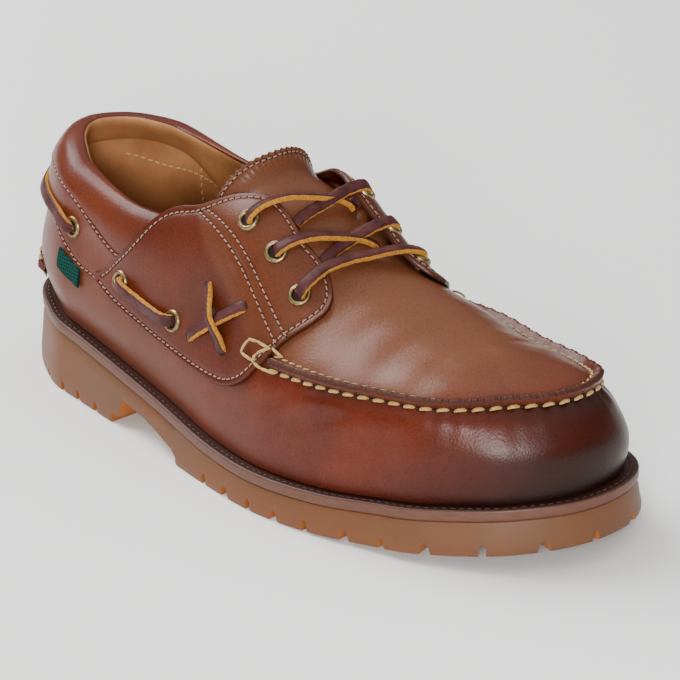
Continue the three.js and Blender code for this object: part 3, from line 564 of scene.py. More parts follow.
# how much further forward the medial side's pieces lie, as a share of the length
MEDIAL_SHIFT = 0.025
QUARTER = [
    # along, low, high edge of the panel that is laid over each side
    [0.22, 1.56, 1.74], [0.265, 1.47, 2.35], [0.325, 1.44, 3.0], [0.4, 1.385, 3.17], [0.455, 1.345, 3.33],
    [0.49, 1.345, 3.43], [0.513, 1.369, 3.42], [0.535, 1.46, 3.37], [0.553, 1.61, 3.33], [0.575, 1.95, 3.34],
    [0.59, 2.17, 3.3], [0.602, 2.35, 3.23], [0.613, 2.5, 3.125], [0.621, 2.64, 3.02], [0.6255, 2.76, 2.9],
]


def crest(x):
    """Height of the form along its top line."""
    return COLLAR_HEIGHT * along(CREST, x / LENGTH)


def bare(around, up):
    """Point on the form at a turn around it and a level up it."""
    around, up = np.broadcast_arrays(np.asarray(around, float), np.asarray(up, float))
    x, y, cos, sin = spoke(around)
    foot = BALL_WIDTH * section(around, 2) - FEATHER
    out = [foot] + [BALL_WIDTH * section(around, k) for k in (3, 5, 7)]
    high = [welt_top(x + foot * cos) + GAP] + [COLLAR_HEIGHT * section(around, k) for k in (4, 6, 8)]
    out = [out[0] - (out[1] - out[0]) * 0.5] + out + [out[0] * 0, -out[3]]
    high = [high[0] - (high[1] - high[0]) * 0.5] + high + [crest(x), high[3]]
    i = np.clip(up.astype(int), 0, 3)

    def place(values):
        """Smooth curve up the form, from each spoke's own values."""
        values = np.stack(values)
        return blend(*[np.take_along_axis(values, (i + k)[None], 0)[0] for k in range(4)],
                     *[UP_SPANS[i + k] for k in range(3)], up - i)

    reach = place(out)
    return np.stack([x + reach * cos, y + reach * sin, place(high)], -1)


def outward(around, up):
    """Unit direction straight out of the form."""
    around, up = np.broadcast_arrays(np.asarray(around, float), np.asarray(up, float))
    step = 0.01
    level = np.minimum(up, 3.998)
    across = bare(around + step, level) - bare(around - step, level)
    rise = bare(around, np.minimum(level + step, 3.999)) - bare(around, np.maximum(level - step, 0))
    normal = np.cross(across, rise)
    x = spoke(around)[0]
    ahead = np.stack([crest(x - 1) - crest(x + 1), x * 0, x * 0 + 2], -1)
    normal = np.where((up > 3.999)[..., None], ahead, normal)
    return normal / np.linalg.norm(normal, axis=-1, keepdims=True)


def skin(around, up, offset=0.0):
    """Point at an offset from the form."""
    return bare(around, up) + outward(around, up) * np.asarray(offset, float)[..., None]


def up_at(around, height):
    """Level at which the form reaches a height."""
    around, height = np.broadcast_arrays(np.asarray(around, float), np.asarray(height, float))
    low = np.zeros(around.shape)
    high = low + 3.9
    for _ in range(18):
        middle = (low + high) / 2
        under = bare(around, middle)[..., 2] < height
        low = np.where(under, middle, low)
        high = np.where(under, high, middle)
    return low


def full_grain(name, dark, middle, light, burnish_and_painted_shade, roughness):
    """Waxed full-grain leather, drum dyed and burnished by hand: the wax gives a soft broad sheen, scuffs pull it
    lighter, and the pores show as fine dark specks. A per-point lightening mark pulls it lighter where bends lighten
    it and as painted sheen and reflection, and a per-point darkening mark pulls it to the burnish colour, for burnish
    and as painted shade. Clouds are 34 and 7 mm across, scuffs 0.9 mm, and the pores are drawn 1.1 mm apart, coarser
    than the real 0.4, so that they show."""
    material, tree, shader, place = new_material(name, Specular_IOR_Level=0.24)
    burnish_and_shade_marks = add(tree, "Attribute", out=2, attribute_name="burnish_and_painted_shade")
    tone_and_painted_sheen = add(tree, "Attribute", out=2, attribute_name="tone_and_painted_sheen")
    broad = add(tree, "TexNoise", {"Vector": place, "Scale": 1000 / 34, "Detail": 3, "Roughness": 0.55})
    share = add(tree, "MapRange", {0: broad, 1: 0.34, 2: 0.68, 3: 0, 4: 0.85})
    colour = add(tree, "Mix", {0: share, 6: middle, 7: dark}, 2, data_type="RGBA")
    clouds = add(tree, "TexNoise", {"Vector": place, "Scale": 1000 / 7, "Detail": 5, "Roughness": 0.62})
    share = add(tree, "MapRange", {0: clouds, 1: 0.42, 2: 0.75, 3: 0, 4: 0.3})
    colour = add(tree, "Mix", {0: share, 6: colour, 7: dark}, 2, data_type="RGBA")
    # lighter by the per-point mark: bends, and painted sheen and reflection
    colour = add(tree, "Mix", {0: tone_and_painted_sheen, 6: colour, 7: light}, 2, data_type="RGBA")
    scuffs = add(tree, "TexNoise", {"Vector": place, "Scale": 1000 / 0.9, "Detail": 4, "Roughness": 0.75})
    share = add(tree, "MapRange", {0: scuffs, 1: 0.5, 2: 0.75, 3: 0, 4: 0.32})
    colour = add(tree, "Mix", {0: share, 6: colour, 7: light}, 2, data_type="RGBA")
    pores = add(tree, "TexVoronoi", {"Vector": place, "Scale": 1000 / 1.1})
    share = add(tree, "MapRange", {0: pores, 1: 0.08, 2: 0.34, 3: 0.5, 4: 0})
    colour = add(tree, "Mix", {0: share, 6: colour, 7: burnish_and_painted_shade}, 2, data_type="RGBA")
    # darker by the per-point mark: burnish, and painted shade
    colour = add(tree, "Mix", {0: burnish_and_shade_marks, 6: colour, 7: burnish_and_painted_shade}, 2, data_type="RGBA")
    tree.links.new(colour, shader.inputs["Base Color"])
    share = add(tree, "MapRange", {0: clouds, 1: 0.3, 2: 0.75, 3: roughness - 0.02, 4: roughness + 0.05})
    tree.links.new(share, shader.inputs["Roughness"])
    waves = add(tree, "TexNoise", {"Vector": place, "Scale": 1000 / 5.5, "Detail": 3})
    bump = add(tree, "Bump", {"Height": waves, "Distance": 0.00012, "Strength": 0.3})
    bump = add(tree, "Bump", {"Height": scuffs, "Distance": 0.0001, "Strength": 0.5, "Normal": bump})
    bump = add(tree, "Bump", {"Height": pores, "Distance": 0.00006, "Strength": 0.6, "Normal": bump})
    tree.links.new(bump, shader.inputs["Normal"])
    return material


def mark(piece, name, values):
    """Gives each point of a piece a value for its material."""
    layer = piece.data.attributes.new(name, "FLOAT", "POINT")
    layer.data.foreach_set("value", np.asarray(values, np.float32).ravel())


def smooth_step(value, low, high):
    """Goes softly from 0 at the low value to 1 at the high one."""
    share = np.clip((np.asarray(value, float) - low) / (high - low), 0, 1)
    return share * share * (3 - 2 * share)


def crowd(count, share=0.6):
    """Shares from 0 to 1 that lie closer together near both ends."""
    t = np.linspace(0, 1, count)
    return (1 - share) * t + share * (0.5 - 0.5 * np.cos(np.pi * t))


def creases(point):
    """Soft troughs of the worn-in leather, as an offset in mm."""
    x, y, z = point[..., 0], point[..., 1], point[..., 2]
    offset = np.zeros(x.shape)
    for at, slant, depth, width, reach in FLEX_CREASES:
        away = (x - at - slant * y - 0.004 * y * y) / width
        trough = -np.exp(-away ** 2) + 0.55 * np.exp(-((away - 1.7) / 1.1) ** 2)
        offset += depth * trough * np.exp(-(y / reach) ** 4) * smooth_step(z, 50, 60)
    for at, height, length, tall, depth, lean in SIDE_FOLDS:
        rise = (z - height - lean * (x - at)) / tall
        dent = -np.exp(-rise ** 2) + 0.5 * np.exp(-((rise - 1.6) / 1.0) ** 2)
        offset += depth * dent * np.exp(-((x - at) / length) ** 2)
    return offset


def moc_length(around):
    """Length along the moc seam up to a turn."""
    fine = np.linspace(5, 19, 600)
    return np.interp(around, fine, run_along(bare(fine, np.full(600, 2.0))))


# from one hand stitch of the moc seam to the next
STITCH_PITCH = 6.6
# The waxed grain face, and the raw cut edge, which is darker, matt and without its sheen
leather = full_grain("waxed pull-up leather", srgb("#4a170a"), srgb("#652512"), srgb("#6c412a"),
                     srgb("#140503"), 0.32)
edge_leather = full_grain("cut leather edge", srgb("#3a1810"), srgb("#4a2316"), srgb("#633826"),
                          srgb("#200906"), 0.62)
around = np.linspace(0, ROWS, 620, endpoint=False)[:, None]
up = np.concatenate([np.linspace(0, 2, 62, endpoint=False), np.linspace(2, 4, 52)])[None, :]
around, up = np.broadcast_arrays(around, up)
point = bare(around, up)
x, y, z = point[..., 0], point[..., 1], point[..., 2]
# mouth is how far inside the throat's opening a point lies, where the plug's edge turns down
half = THROAT_WIDTH / 2
mouth = np.minimum(THROAT_FRONT * LENGTH - 13 * (np.abs(y) / half) ** 2.2 - x, half - np.abs(y))
mouth = np.where((up > 2.5) & (x > 60), mouth, -9)
offset = creases(point) - 5.5 * smooth_step(mouth, -0.2, 2.2)
# the hand stitches gather the wall into pleats, over a soft roll just under the seam
toe = smooth_step(x, 175, 215)
gather = np.sin(2 * np.pi * moc_length(around) / STITCH_PITCH) * 0.32 * toe
offset += gather * np.exp(-np.clip(1.9 - up, 0, 9) * 12 / 2.4) * (up < 1.96)
offset += 0.5 * np.exp(-((up - 1.62) / 0.2) ** 2) * toe
points = skin(around, up, offset)
foot_cut = along(COLLAR_FOOT, x / LENGTH) * COLLAR_HEIGHT + 5
share = x / LENGTH - np.where(y > 0, MEDIAL_SHIFT, 0)
under_quarter = (share > 0.28) & (share < 0.5) & (up > along(QUARTER, share, 2) - 0.1)
gone = ((x < 0.328 * LENGTH) & (z > foot_cut)) | (mouth > 3.2) | ((x < 0.5 * LENGTH) & under_quarter)
faces = grid_faces(*around.shape, loop_rows=True)
keep = ~gone.ravel()[faces].any(axis=1)
upper = new_object("upper_leather", points.reshape(-1, 3), faces[keep], [leather])
# The toe is burnished dark; along the welt and at the foot of the moc seam the darkening is painted shade in the
# groove.
toe_dark = smooth_step(x, 225, 300) * smooth_step(62 - z, 0, 22) * 0.75
toe_dark = np.maximum(toe_dark, smooth_step(x, 262, 292) * 0.55 * (up < 2))
welt_groove_shade = 0.4 * np.exp(-np.clip(up, 0, 9) * 15 / 2.2)
moc_foot_shade = 0.35 * np.exp(-np.abs(up - 1.93) * 12 / 2.2) * toe
mark(upper, "burnish_and_painted_shade", np.clip(toe_dark * 1.15 + welt_groove_shade + moc_foot_shade, 0, 0.97))
# The plug is lighter where it is stretched, with a painted sheen where it faces up; low round the heel the wall is
# lightened as a painted reflection of the floor.
plug_stretch_and_painted_sheen = smooth_step(up, 1.98, 2.02) * 0.75 * smooth_step(x, 150, 170) * (1 - smooth_step(x, 235, 285) * 0.7)
mark(upper, "tone_and_painted_sheen", np.maximum(plug_stretch_and_painted_sheen, 0.4 * (1 - smooth_step(x, 90, 210)) * (1 - smooth_step(up, 1.4, 1.9))))
settle(upper, "brown_leather", "upper")

# The lining is glued inside the wall, up to the collar and under the plug
around, up = np.broadcast_arrays(np.linspace(0, ROWS, 300, endpoint=False)[:, None],
                                 np.linspace(0.05, 3.3, 46)[None, :])
point = bare(around, up)
x, z = point[..., 0], point[..., 2]
over_foot = z > along(COLLAR_FOOT, x / LENGTH) * COLLAR_HEIGHT + 8
gone = ((x < 0.33 * LENGTH) & over_foot) | ((up > 2.85) & (x < 175))
faces = grid_faces(*around.shape, loop_rows=True)
faces = faces[~gone.ravel()[faces].any(axis=1)][:, ::-1]
inside = skin(around, up, np.full(up.shape, -WALL))
settle(new_object("upper_lining", inside.reshape(-1, 3), faces, [tan_lining]), "tan_lining")


def finer(path, parts):
    """The same path with each of its steps cut into equal parts."""
    steps = [np.linspace(a, b, parts, endpoint=False) for a, b in zip(path[:-1], path[1:])]
    return np.concatenate(steps + [path[-1:]])


def stitch_row(name, route, pitch, length, width, thick, material, slot, sink, slant=0.0, hole=None, face=1):
    """Row of stitches along a route of (turn, level, lift) places on the form, with needle holes between
    them where hole gives their length, width, thickness and colour."""
    fine = finer(route, 24)
    path = skin(*fine.T)
    joined = np.concatenate([path, outward(fine[:, 0], fine[:, 1]) * face], 1)
    run = run_along(path)
    count = max(int(round(run[-1] / pitch)), 1)

    def row(label, at, lift, size, colour):
        """One mesh of stitches at the given lengths along the route."""
        sample = at_run(at, run, joined)
        ahead = at_run(at + 0.3, run, path) - at_run(at - 0.3, run, path)
        points, faces = stitch_mesh(sample[:, :3] + sample[:, 3:] * lift, ahead, sample[:, 3:], *size)
        settle(turn_out(new_object(name + label, points, faces, [colour])), slot)

    row("", (np.arange(count) + 0.5) * run[-1] / count, 0, (length, width, thick, sink, slant), material)
    if hole is not None:
        row("_holes", np.arange(count + 1) * run[-1] / count, 0.02, (*hole[:3], 0.0), hole[3])


tan_thread = thread("tan lining thread", srgb("#e6c48c"), srgb("#b88a54"), 0.35)
for name, route in (("back", [(22.9, 2.34), (22.4, 2.3), (21.7, 2.24), (21.0, 2.22), (20.4, 2.24), (19.9, 2.27)]),
                    ("joint", [(20.93, 2.95), (20.92, 2.6), (20.92, 2.3), (20.9, 1.9), (20.88, 1.5)])):
    stitch_row(f"lining_{name}_stitches", np.array([(a, b, -WALL - 0.1) for a, b in route]), 3.2, 2.4, 0.8, 0.6,
               tan_thread, "tan_lining", sink=0.1, face=-1)


# Quarters: overlays of the same leather around the heel and over both sides, turned into eyestays
# over the throat, and sewn down with pinkish thread that sinks between dark needle holes.
OVERLAY = 1.6
OVERLAY_GAP = 0.6
FACE = OVERLAY + OVERLAY_GAP
# along, height of the rear quarter's lower edge
LOWER_SEAM = [[0, 0.72], [0.095, 0.72], [0.138, 0.63], [0.174, 0.565], [0.216, 0.545], [0.27, 0.49]]
REAR_FACE = 0.9
STAY_ROWS = {"stay_1": ((0.396, 3.06), (0.588, 2.22)), "stay_2": ((0.409, 3.08), (0.598, 2.34))}
SIDE_NAMES = (("lateral", -1), ("medial", 1))
pink_thread = thread("pinkish machine thread", srgb("#b48772"), srgb("#7c5141"), 0.3)
# Inside a needle hole hardly any light comes back: a matt near black that the eye takes for depth
hole_dark = new_material("shadow in a needle hole", Roughness=0.9, Base_Color=srgb("#140605"))[0]
PANEL_STITCH = dict(pitch=2.9, length=2.5, width=0.62, thick=0.5, material=pink_thread, slot="brown_leather",
                    sink=0.12, slant=0.12, hole=(0.8, 0.75, 0.3, hole_dark))


def row_route(side, shares, ups, lift):
    """Route along a quarter on one side."""
    shift = MEDIAL_SHIFT if side > 0 else 0
    shares = np.asarray(shares, float)
    return np.stack([beside(shares + shift, side), np.asarray(ups, float), np.full(shares.shape, lift)], -1)


def inset_route(side, stops, inset, lift):
    """Route that keeps a set distance inside an edge given as (share, level) places."""
    levels = np.concatenate([[0], np.cumsum(UP_SPANS[1:5])])
    stops = np.asarray(stops, float)
    path = np.stack([stops[:, 0] * LENGTH, np.interp(stops[:, 1], range(5), levels)], -1)
    run = run_along(path)
    path = at_run(np.linspace(0, run[-1], 120), run, path)
    ahead = np.gradient(path, axis=0)
    for _ in range(2):
        ahead[1:-1] = (ahead[:-2] + 2 * ahead[1:-1] + ahead[2:]) / 4
    ahead /= np.linalg.norm(ahead, axis=1, keepdims=True)
    path = path + np.stack([ahead[:, 1], -ahead[:, 0]], -1) * inset
    return row_route(side, path[:, 0] / LENGTH, np.interp(path[:, 1], levels, range(5)), lift)


def stand_off(share, up):
    """How far the far eyestay is pushed up by the tongue under it, in mm."""
    return 2.6 * smooth_step(up, 2.45, 3.1) * smooth_step(share, 0.4, 0.47) * (1 - smooth_step(share, 0.6, 0.68))


def groove(points, path):
    """Soft groove that a row of stitches pulls into the leather: 1 on the path, gone 2 mm away."""
    away = np.full(points.shape[:-1], 1e9)
    for stop in path:
        away = np.minimum(away, np.sum((points - stop) ** 2, -1))
    return np.exp(-away)


def two_skins(name, top, bottom, materials):
    """Closed body between two skins of the same grid. The last material covers its rim."""
    rows, columns = top.shape[:2]
    count = rows * columns
    edge = [i * columns for i in range(rows)] + [(rows - 1) * columns + j for j in range(1, columns)]
    edge += [i * columns + columns - 1 for i in range(rows - 2, -1, -1)] + list(range(columns - 2, 0, -1))
    rim = [[a, b, b + count, a + count] for a, b in zip(edge, edge[1:] + edge[:1])]
    skins = grid_faces(rows, columns)
    faces = skins.tolist() + (skins + count)[:, ::-1].tolist() + rim
    kinds = [0] * (2 * len(skins)) + [len(materials) - 1] * len(rim)
    points = np.concatenate([top.reshape(-1, 3), bottom.reshape(-1, 3)])
    return turn_out(new_object(name, points, faces, materials, kinds))


def slab(name, around, up, outer, inner, materials, rim=0.9):
    """Closed leather panel between two offsets, its cut edges rounded over, and each point's distance
    from its edge."""
    around, up = np.broadcast_arrays(around, up)
    base = bare(around, up)
    normal = outward(around, up)
    outer, inner = np.broadcast_to(outer, up.shape), np.broadcast_to(inner, up.shape)
    step = np.linalg.norm(np.diff(base, axis=1), axis=-1)
    run = np.concatenate([np.zeros((len(base), 1)), np.cumsum(step, axis=1)], 1)
    away = np.minimum(run, run[:, -1:] - run)
    fall = 1 - np.sqrt(np.clip(1 - (1 - np.clip(away / rim, 0, 1)) ** 2, 0, 1))
    top = base + normal * (outer - fall * (outer - inner) * 0.75)[..., None]
    return two_skins(name, top, base + normal * inner[..., None], materials), away


for name, side in SIDE_NAMES:
    shift = MEDIAL_SHIFT if side > 0 else 0
    share = QUARTER[0][0] + (QUARTER[-1][0] - QUARTER[0][0]) * crowd(190, 0.5)
    low, high = along(QUARTER, share, 1), along(QUARTER, share, 2)
    level = crowd(110, 0.75)[None, :]
    up = low[:, None] + (high - low)[:, None] * level
    around = np.broadcast_to(beside(share + shift, side)[:, None], up.shape)
    shares = np.linspace(0.229, QUARTER[-1][0], 80)
    edge = np.concatenate([np.stack([shares, along(QUARTER, shares, 2)], -1),
                           np.stack([shares, along(QUARTER, shares, 1)], -1)[::-1]])
    rows_of = {"edge": inset_route(side, edge, 2.4, FACE)}
    for row, ((share_a, up_a), (share_b, up_b)) in STAY_ROWS.items():
        rows_of[row] = row_route(side, np.linspace(share_a, share_b, 20), np.linspace(up_a, up_b, 20), FACE)
    raised = np.zeros(up.shape)
    if side > 0:
        raised = stand_off(share[:, None] + shift, up)
        for route in rows_of.values():
            place = np.interp(ROWS - route[:, 0], np.arange(3.0, 10), SECTIONS[3:10, 0])
            route[:, 2] += stand_off(place, route[:, 1])
    points = skin(around, up, FACE + raised)
    sunk = sum(0.32 * groove(points, finer(skin(*route.T), 5)) for route in rows_of.values())
    # two soft dents where the quarter gives with the foot, and fine wrinkles behind the eyelets
    x, z = points[..., 0], points[..., 2]
    soft = 0.5 * np.exp(-(((x - 158) - 0.9 * (z - 88)) / 5) ** 2) * np.exp(-((z - 88) / 12) ** 2)
    soft += 0.5 * np.exp(-(((x - 150) + 0.5 * (z - 68)) / 6) ** 2) * np.exp(-((z - 66) / 12) ** 2)
    ripple = 0.16 * np.sin((x + 1.3 * z) / 1.25) * np.exp(-((x - 152) / 9) ** 2 - ((z - 89) / 6) ** 2)
    outer = FACE - sunk + ripple - soft * 0.6 + raised
    panel, away = slab(f"front_quarter_{name}_leather", around, up, outer, OVERLAY_GAP * 0.4 + raised,
                       [leather, edge_leather])
    # Painted shade darkens the whole quarter a little, its stitch grooves and its soft dents; its cut edge is darker
    # leather.
    dark = 0.16 + 0.45 * np.exp(-away / 0.7) + 0.2 * (sunk > 0.2) + 0.12 * soft
    mark(panel, "burnish_and_painted_shade", np.concatenate([np.clip(dark, 0, 0.8).ravel(), np.full(dark.size, 0.3)]))
    # the eyestay is lightened as a painted sheen
    stay_painted_sheen = smooth_step(x - (118 + (z - 100) * -1.22), -3, 3)
    mark(panel, "tone_and_painted_sheen", np.concatenate([(0.1 + 0.42 * stay_painted_sheen).ravel(), np.zeros(dark.size)]))
    settle(panel, "brown_leather", f"front_quarter_{name}")
    for row, route in rows_of.items():
        stitch_row(f"quarter_{name}_{row}_stitches", route - [0, 0, 0.3], **PANEL_STITCH)

# The rear quarter goes round the heel in one piece, from one front quarter to the other
reach = float(beside(0.262, -1))
around = np.linspace(-reach, reach, 320)
share = bare(around, np.full(320, 2.4))[:, 0] / LENGTH
low = up_at(around, along(LOWER_SEAM, share) * COLLAR_HEIGHT)
high = up_at(around, along(COLLAR_FOOT, share) * COLLAR_HEIGHT + 2.0)
up = low[:, None] + (high - low)[:, None] * crowd(44, 0.8)[None, :]
turns = around[4:-4:6]
seam = np.stack([turns, low[4:-4:6] + 0.075, np.full(len(turns), REAR_FACE)], -1)
points = skin(np.broadcast_to(around[:, None], up.shape), up, np.full(up.shape, REAR_FACE))
sunk = 0.3 * groove(points, finer(skin(*seam.T), 5))
panel, away = slab("rear_quarter_leather", around[:, None], up, REAR_FACE - sunk, -0.3, [leather, edge_leather], 0.7)
# darker at the cut edge, and painted shade in the stitch groove
dark = 0.5 * np.exp(-away / 0.7) + 0.22 * (sunk > 0.18)
mark(panel, "burnish_and_painted_shade", np.concatenate([np.clip(dark, 0, 0.8).ravel(), np.full(dark.size, 0.3)]))
mark(panel, "tone_and_painted_sheen", np.full(2 * dark.size, 0.2))
settle(panel, "brown_leather")
stitch_row("rear_quarter_stitches", seam - [0, 0, 0.25], **PANEL_STITCH)


# Collar: foam wrapped in the upper's leather and rolled over to the inside, where the tan lining
# is sewn to it. It lies flush where the front quarters cover it.
COLLAR_RIM = [
    # along, lateral, medial
    [0, 1.025, 1.025], [0.1, 0.997, 1.012], [0.165, 0.95, 0.985], [0.207, 0.92, 0.962], [0.256, 0.897, 0.938],
    [0.33, 0.9, 0.92],
]
COLLAR_END = 0.318
COLLAR_ROLL = 10.0
COLLAR_PUFF = 0.9
COLLAR_SINK = 0.4
COLLAR_PROFILE = np.array([
    # level from foot to rim, how far in from the outer face in rolls
    (0, 0.0), (0.1, 0.0), (0.35, -0.02), (0.65, 0.0), (0.88, 0.07), (0.985, 0.3), (1, 0.52), (0.97, 0.74),
    (0.86, 0.93), (0.66, 1.0), (0.3, 0.86), (0, 0.55),
])
COLLAR_STEPS = 260
PROFILE_STEPS = 60
# the part of the profile that the lining covers, and where it is sewn to the leather
LINED = (36, 58)
LINING_EDGE = 35.5


def round_off(points, count, loop=True):
    """Smooth line through a few points, closed on itself where it is a loop."""
    points = np.asarray(points, float)
    n = len(points)
    t = np.linspace(0, n if loop else n - 1, count, endpoint=not loop)
    i = np.minimum(t.astype(int), n - 1 if loop else n - 2)
    share = (t - i)[:, None]
    p0, p1, p2, p3 = [points[(i + k) % n if loop else np.clip(i + k, 0, n - 1)] for k in (-1, 0, 1, 2)]
    return 0.5 * (2 * p1 + (p2 - p0) * share + (2 * p0 - 5 * p1 + 4 * p2 - p3) * share ** 2
                  + (3 * p1 - p0 - 3 * p2 + p3) * share ** 3)


reach = float(beside(COLLAR_END, -1))
around = np.linspace(-reach, reach, COLLAR_STEPS)
share = np.minimum(bare(around, np.full(COLLAR_STEPS, 2.6))[:, 0] / LENGTH, COLLAR_END)
rim_height = COLLAR_HEIGHT * np.where(around < 0, along(COLLAR_RIM, share, 2), along(COLLAR_RIM, share, 1))
foot_height = COLLAR_HEIGHT * along(COLLAR_FOOT, share)
cover = smooth_step(share, SECTIONS[0][0], QUARTER[0][0])
roll = COLLAR_ROLL * (1 - 0.42 * smooth_step(share, 0.1, COLLAR_END))
puff = COLLAR_PUFF + 0.3 - (COLLAR_PUFF + 0.3 + COLLAR_SINK) * cover * 0.6
profile = round_off(COLLAR_PROFILE, PROFILE_STEPS)
_, _, cos, sin = spoke(around)
rings = []
for level, inward in profile:
    height = foot_height + (rim_height - foot_height) * level
    swell = puff * math.sin(math.pi * min(max(level, 0.0), 1.0) ** 0.7) if inward < 0.5 else puff * 0
    point = skin(around, up_at(around, height), swell - (COLLAR_SINK if level <= 0.02 else 0.0))
    rings.append(np.stack([point[:, 0] - inward * roll * cos, point[:, 1] - inward * roll * sin, height], -1))
stack = np.stack(rings, 1)
faces = grid_faces(COLLAR_STEPS, PROFILE_STEPS, loop_columns=True)
kinds = [int(LINED[0] <= k % PROFILE_STEPS < LINED[1]) for k in range(len(faces))] + [0, 0]
ends = [list(range(PROFILE_STEPS))[::-1], [(COLLAR_STEPS - 1) * PROFILE_STEPS + k for k in range(PROFILE_STEPS)]]
collar = new_object("collar_roll", stack.reshape(-1, 3), faces.tolist() + ends, [leather, tan_lining], kinds)
turn_out(collar)
level = profile[:, 0]
# painted shade along the collar's foot against the wall and along the lining seam, and a painted sheen along the
# middle height of the roll
collar_seam_shade = 0.45 * np.exp(-np.abs(level) / 0.04) + 0.5 * np.exp(-((np.arange(PROFILE_STEPS) - LINING_EDGE) / 1.5) ** 2)
mark(collar, "burnish_and_painted_shade", np.broadcast_to(collar_seam_shade, stack.shape[:2]))
mark(collar, "tone_and_painted_sheen", np.broadcast_to(0.25 * np.exp(-((level - 0.6) / 0.3) ** 2), stack.shape[:2]))
settle(collar, "brown_leather", "collar")
turns = around[6:-6:6]
route = np.stack([turns, up_at(turns, foot_height[6:-6:6] + 2.4), puff[6:-6:6] * 0.55 + 0.25], -1)
stitch_row("collar_stitches", route, **PANEL_STITCH)


# Tongue: one thick piece of the same leather under the eyestays. Its free edge is cut with pinking
# shears and follows a row of machine stitches.
TONGUE_THICKNESS = 2.2
TONGUE_LIFT = 9.2
TONGUE_CLEARANCE = 1.2
PINK_PITCH = 3.0
PINK_DEPTH = 1.1
TONGUE = [
    # along, how far its sides lie further back, how much of its free height its middle stands up
    [0.64, 0, 0], [0.6, 0, 0], [0.56, 0, 0], [0.52, 0, 0], [0.495, 0.005, 0], [0.47, 0.02, 0.12], [0.453, 0.035, 0.3],
    [0.437, 0.05, 1],
]


def over(share, across, offset):
    """Point over the throat: across is 0 at the crest, and goes down the lateral (-) or medial (+) side."""
    share, across, offset = np.broadcast_arrays(*(np.asarray(v, float) for v in (share, across, offset)))
    around = np.where(across < 0, beside(share, -1), beside(share, 1))
    return skin(around, 4 - np.abs(across), offset)


across = np.linspace(-1, 1, 180)
stages = np.concatenate([np.linspace(0, 6, 60, endpoint=False), np.linspace(6, 7, 30)])
table = np.column_stack([np.arange(8.0), TONGUE])
share, back, lift = (along(table, stages, k)[:, None] for k in (1, 2, 3))
lift = np.maximum(lift, 0)
top = -WALL - TONGUE_CLEARANCE


def tongue_point(share, back, lift, across, drop):
    """Point on the tongue, which arches up where it is free."""
    rise = TONGUE_LIFT * lift * (1 - across ** 4) ** 2.2
    back = back * np.where(across < 0, 1, 0.55)
    return over(share - back * across * across, across, top - drop + rise)


upper_face = tongue_point(share, back, lift, across[None, :], 0)
saw = 2 * np.abs(np.mod(run_along(upper_face[-1]) / PINK_PITCH, 1) - 0.5)
fade = smooth_step(stages, 6.2, 7)[:, None]
pink_share = share - (saw * PINK_DEPTH / LENGTH)[None, :] * fade
upper_face = tongue_point(pink_share, back, lift, across[None, :], 0)
under_face = tongue_point(pink_share, back, lift, across[None, :], TONGUE_THICKNESS)
row_at = at_run(6.72, stages, upper_face[:, 8:172:2].reshape(len(stages), -1)).reshape(-1, 3)
path = finer(row_at, 4)[:-1]
normal = np.cross(np.gradient(upper_face, axis=1), np.gradient(upper_face, axis=0))
normal /= np.linalg.norm(normal, axis=-1, keepdims=True)
normal *= np.sign(normal[..., 2:3] + 1e-9)
sunk = 0.3 * groove(upper_face, path)
folds = 0.35 * (np.sin(stages * 2.3) * np.exp(-((stages - 5.2) / 0.9) ** 2))[:, None] * np.exp(-(across / 0.6) ** 2)
upper_face = upper_face + normal * (folds - sunk)[..., None]
tongue = two_skins("tongue_leather", upper_face, under_face, [leather, edge_leather])
# painted shade in the stitch groove, and a darker pinked edge
dark = 0.25 * (sunk > 0.15) + 0.3 * fade * (stages > 6.9)[:, None]
mark(tongue, "burnish_and_painted_shade", np.concatenate([dark.ravel(), np.full(dark.size, 0.3)]))
mark(tongue, "tone_and_painted_sheen", np.full(2 * dark.size, 0.8))
settle(tongue, "brown_leather", "tongue")
middles, pitch = walk(path, 2.9)
ahead = directions(middles)
ups = np.array([normal.reshape(-1, 3)[np.argmin(np.sum((upper_face.reshape(-1, 3) - m) ** 2, -1))] for m in middles])
points, faces = stitch_mesh(middles - ups * 0.25, ahead, ups, 2.5, 0.62, 0.5, 0.12)
settle(turn_out(new_object("tongue_stitches", points, faces, [pink_thread])), "brown_leather")
middles = middles + ahead * pitch / 2
points, faces = stitch_mesh(middles, directions(middles), ups, 0.8, 0.7, 0.3, 0.1)
settle(turn_out(new_object("tongue_stitch_holes", points, faces, [hole_dark])), "brown_leather")


# Moc seam: plug and wall stand up against each other in a ridge with a raw dark cut edge on top, and
# are drawn together by hand with thick waxed cream thread. The same seam closes the heel below.
RIDGE_WIDTH = 5.4
RIDGE_HEIGHT = 3.6
RIDGE_LEAN = 0.3
RIDGE_START = 0.58
RIDGE_END = 0.605
HEEL_SEAM_TURN = 1.75
HEEL_SEAM_UP = 0.8
# Four-strand linen, drawn through wax by hand: warm cream, with brown as painted shade in the twist
cream_thread = thread("waxed cream linen thread", srgb("#c5a35e"), srgb("#876732"), 0.45)
RIDGE_PROFILE = np.array([
    # across from the outer to the inner foot in ridge widths, height in ridge heights
    (-0.62, -0.1), (-0.5, 0.12), (-0.42, 0.55), (-0.3, 0.9), (-0.16, 1.0), (0.1, 0.98), (0.24, 0.86), (0.36, 0.5),
    (0.48, 0.14), (0.62, -0.1),
])


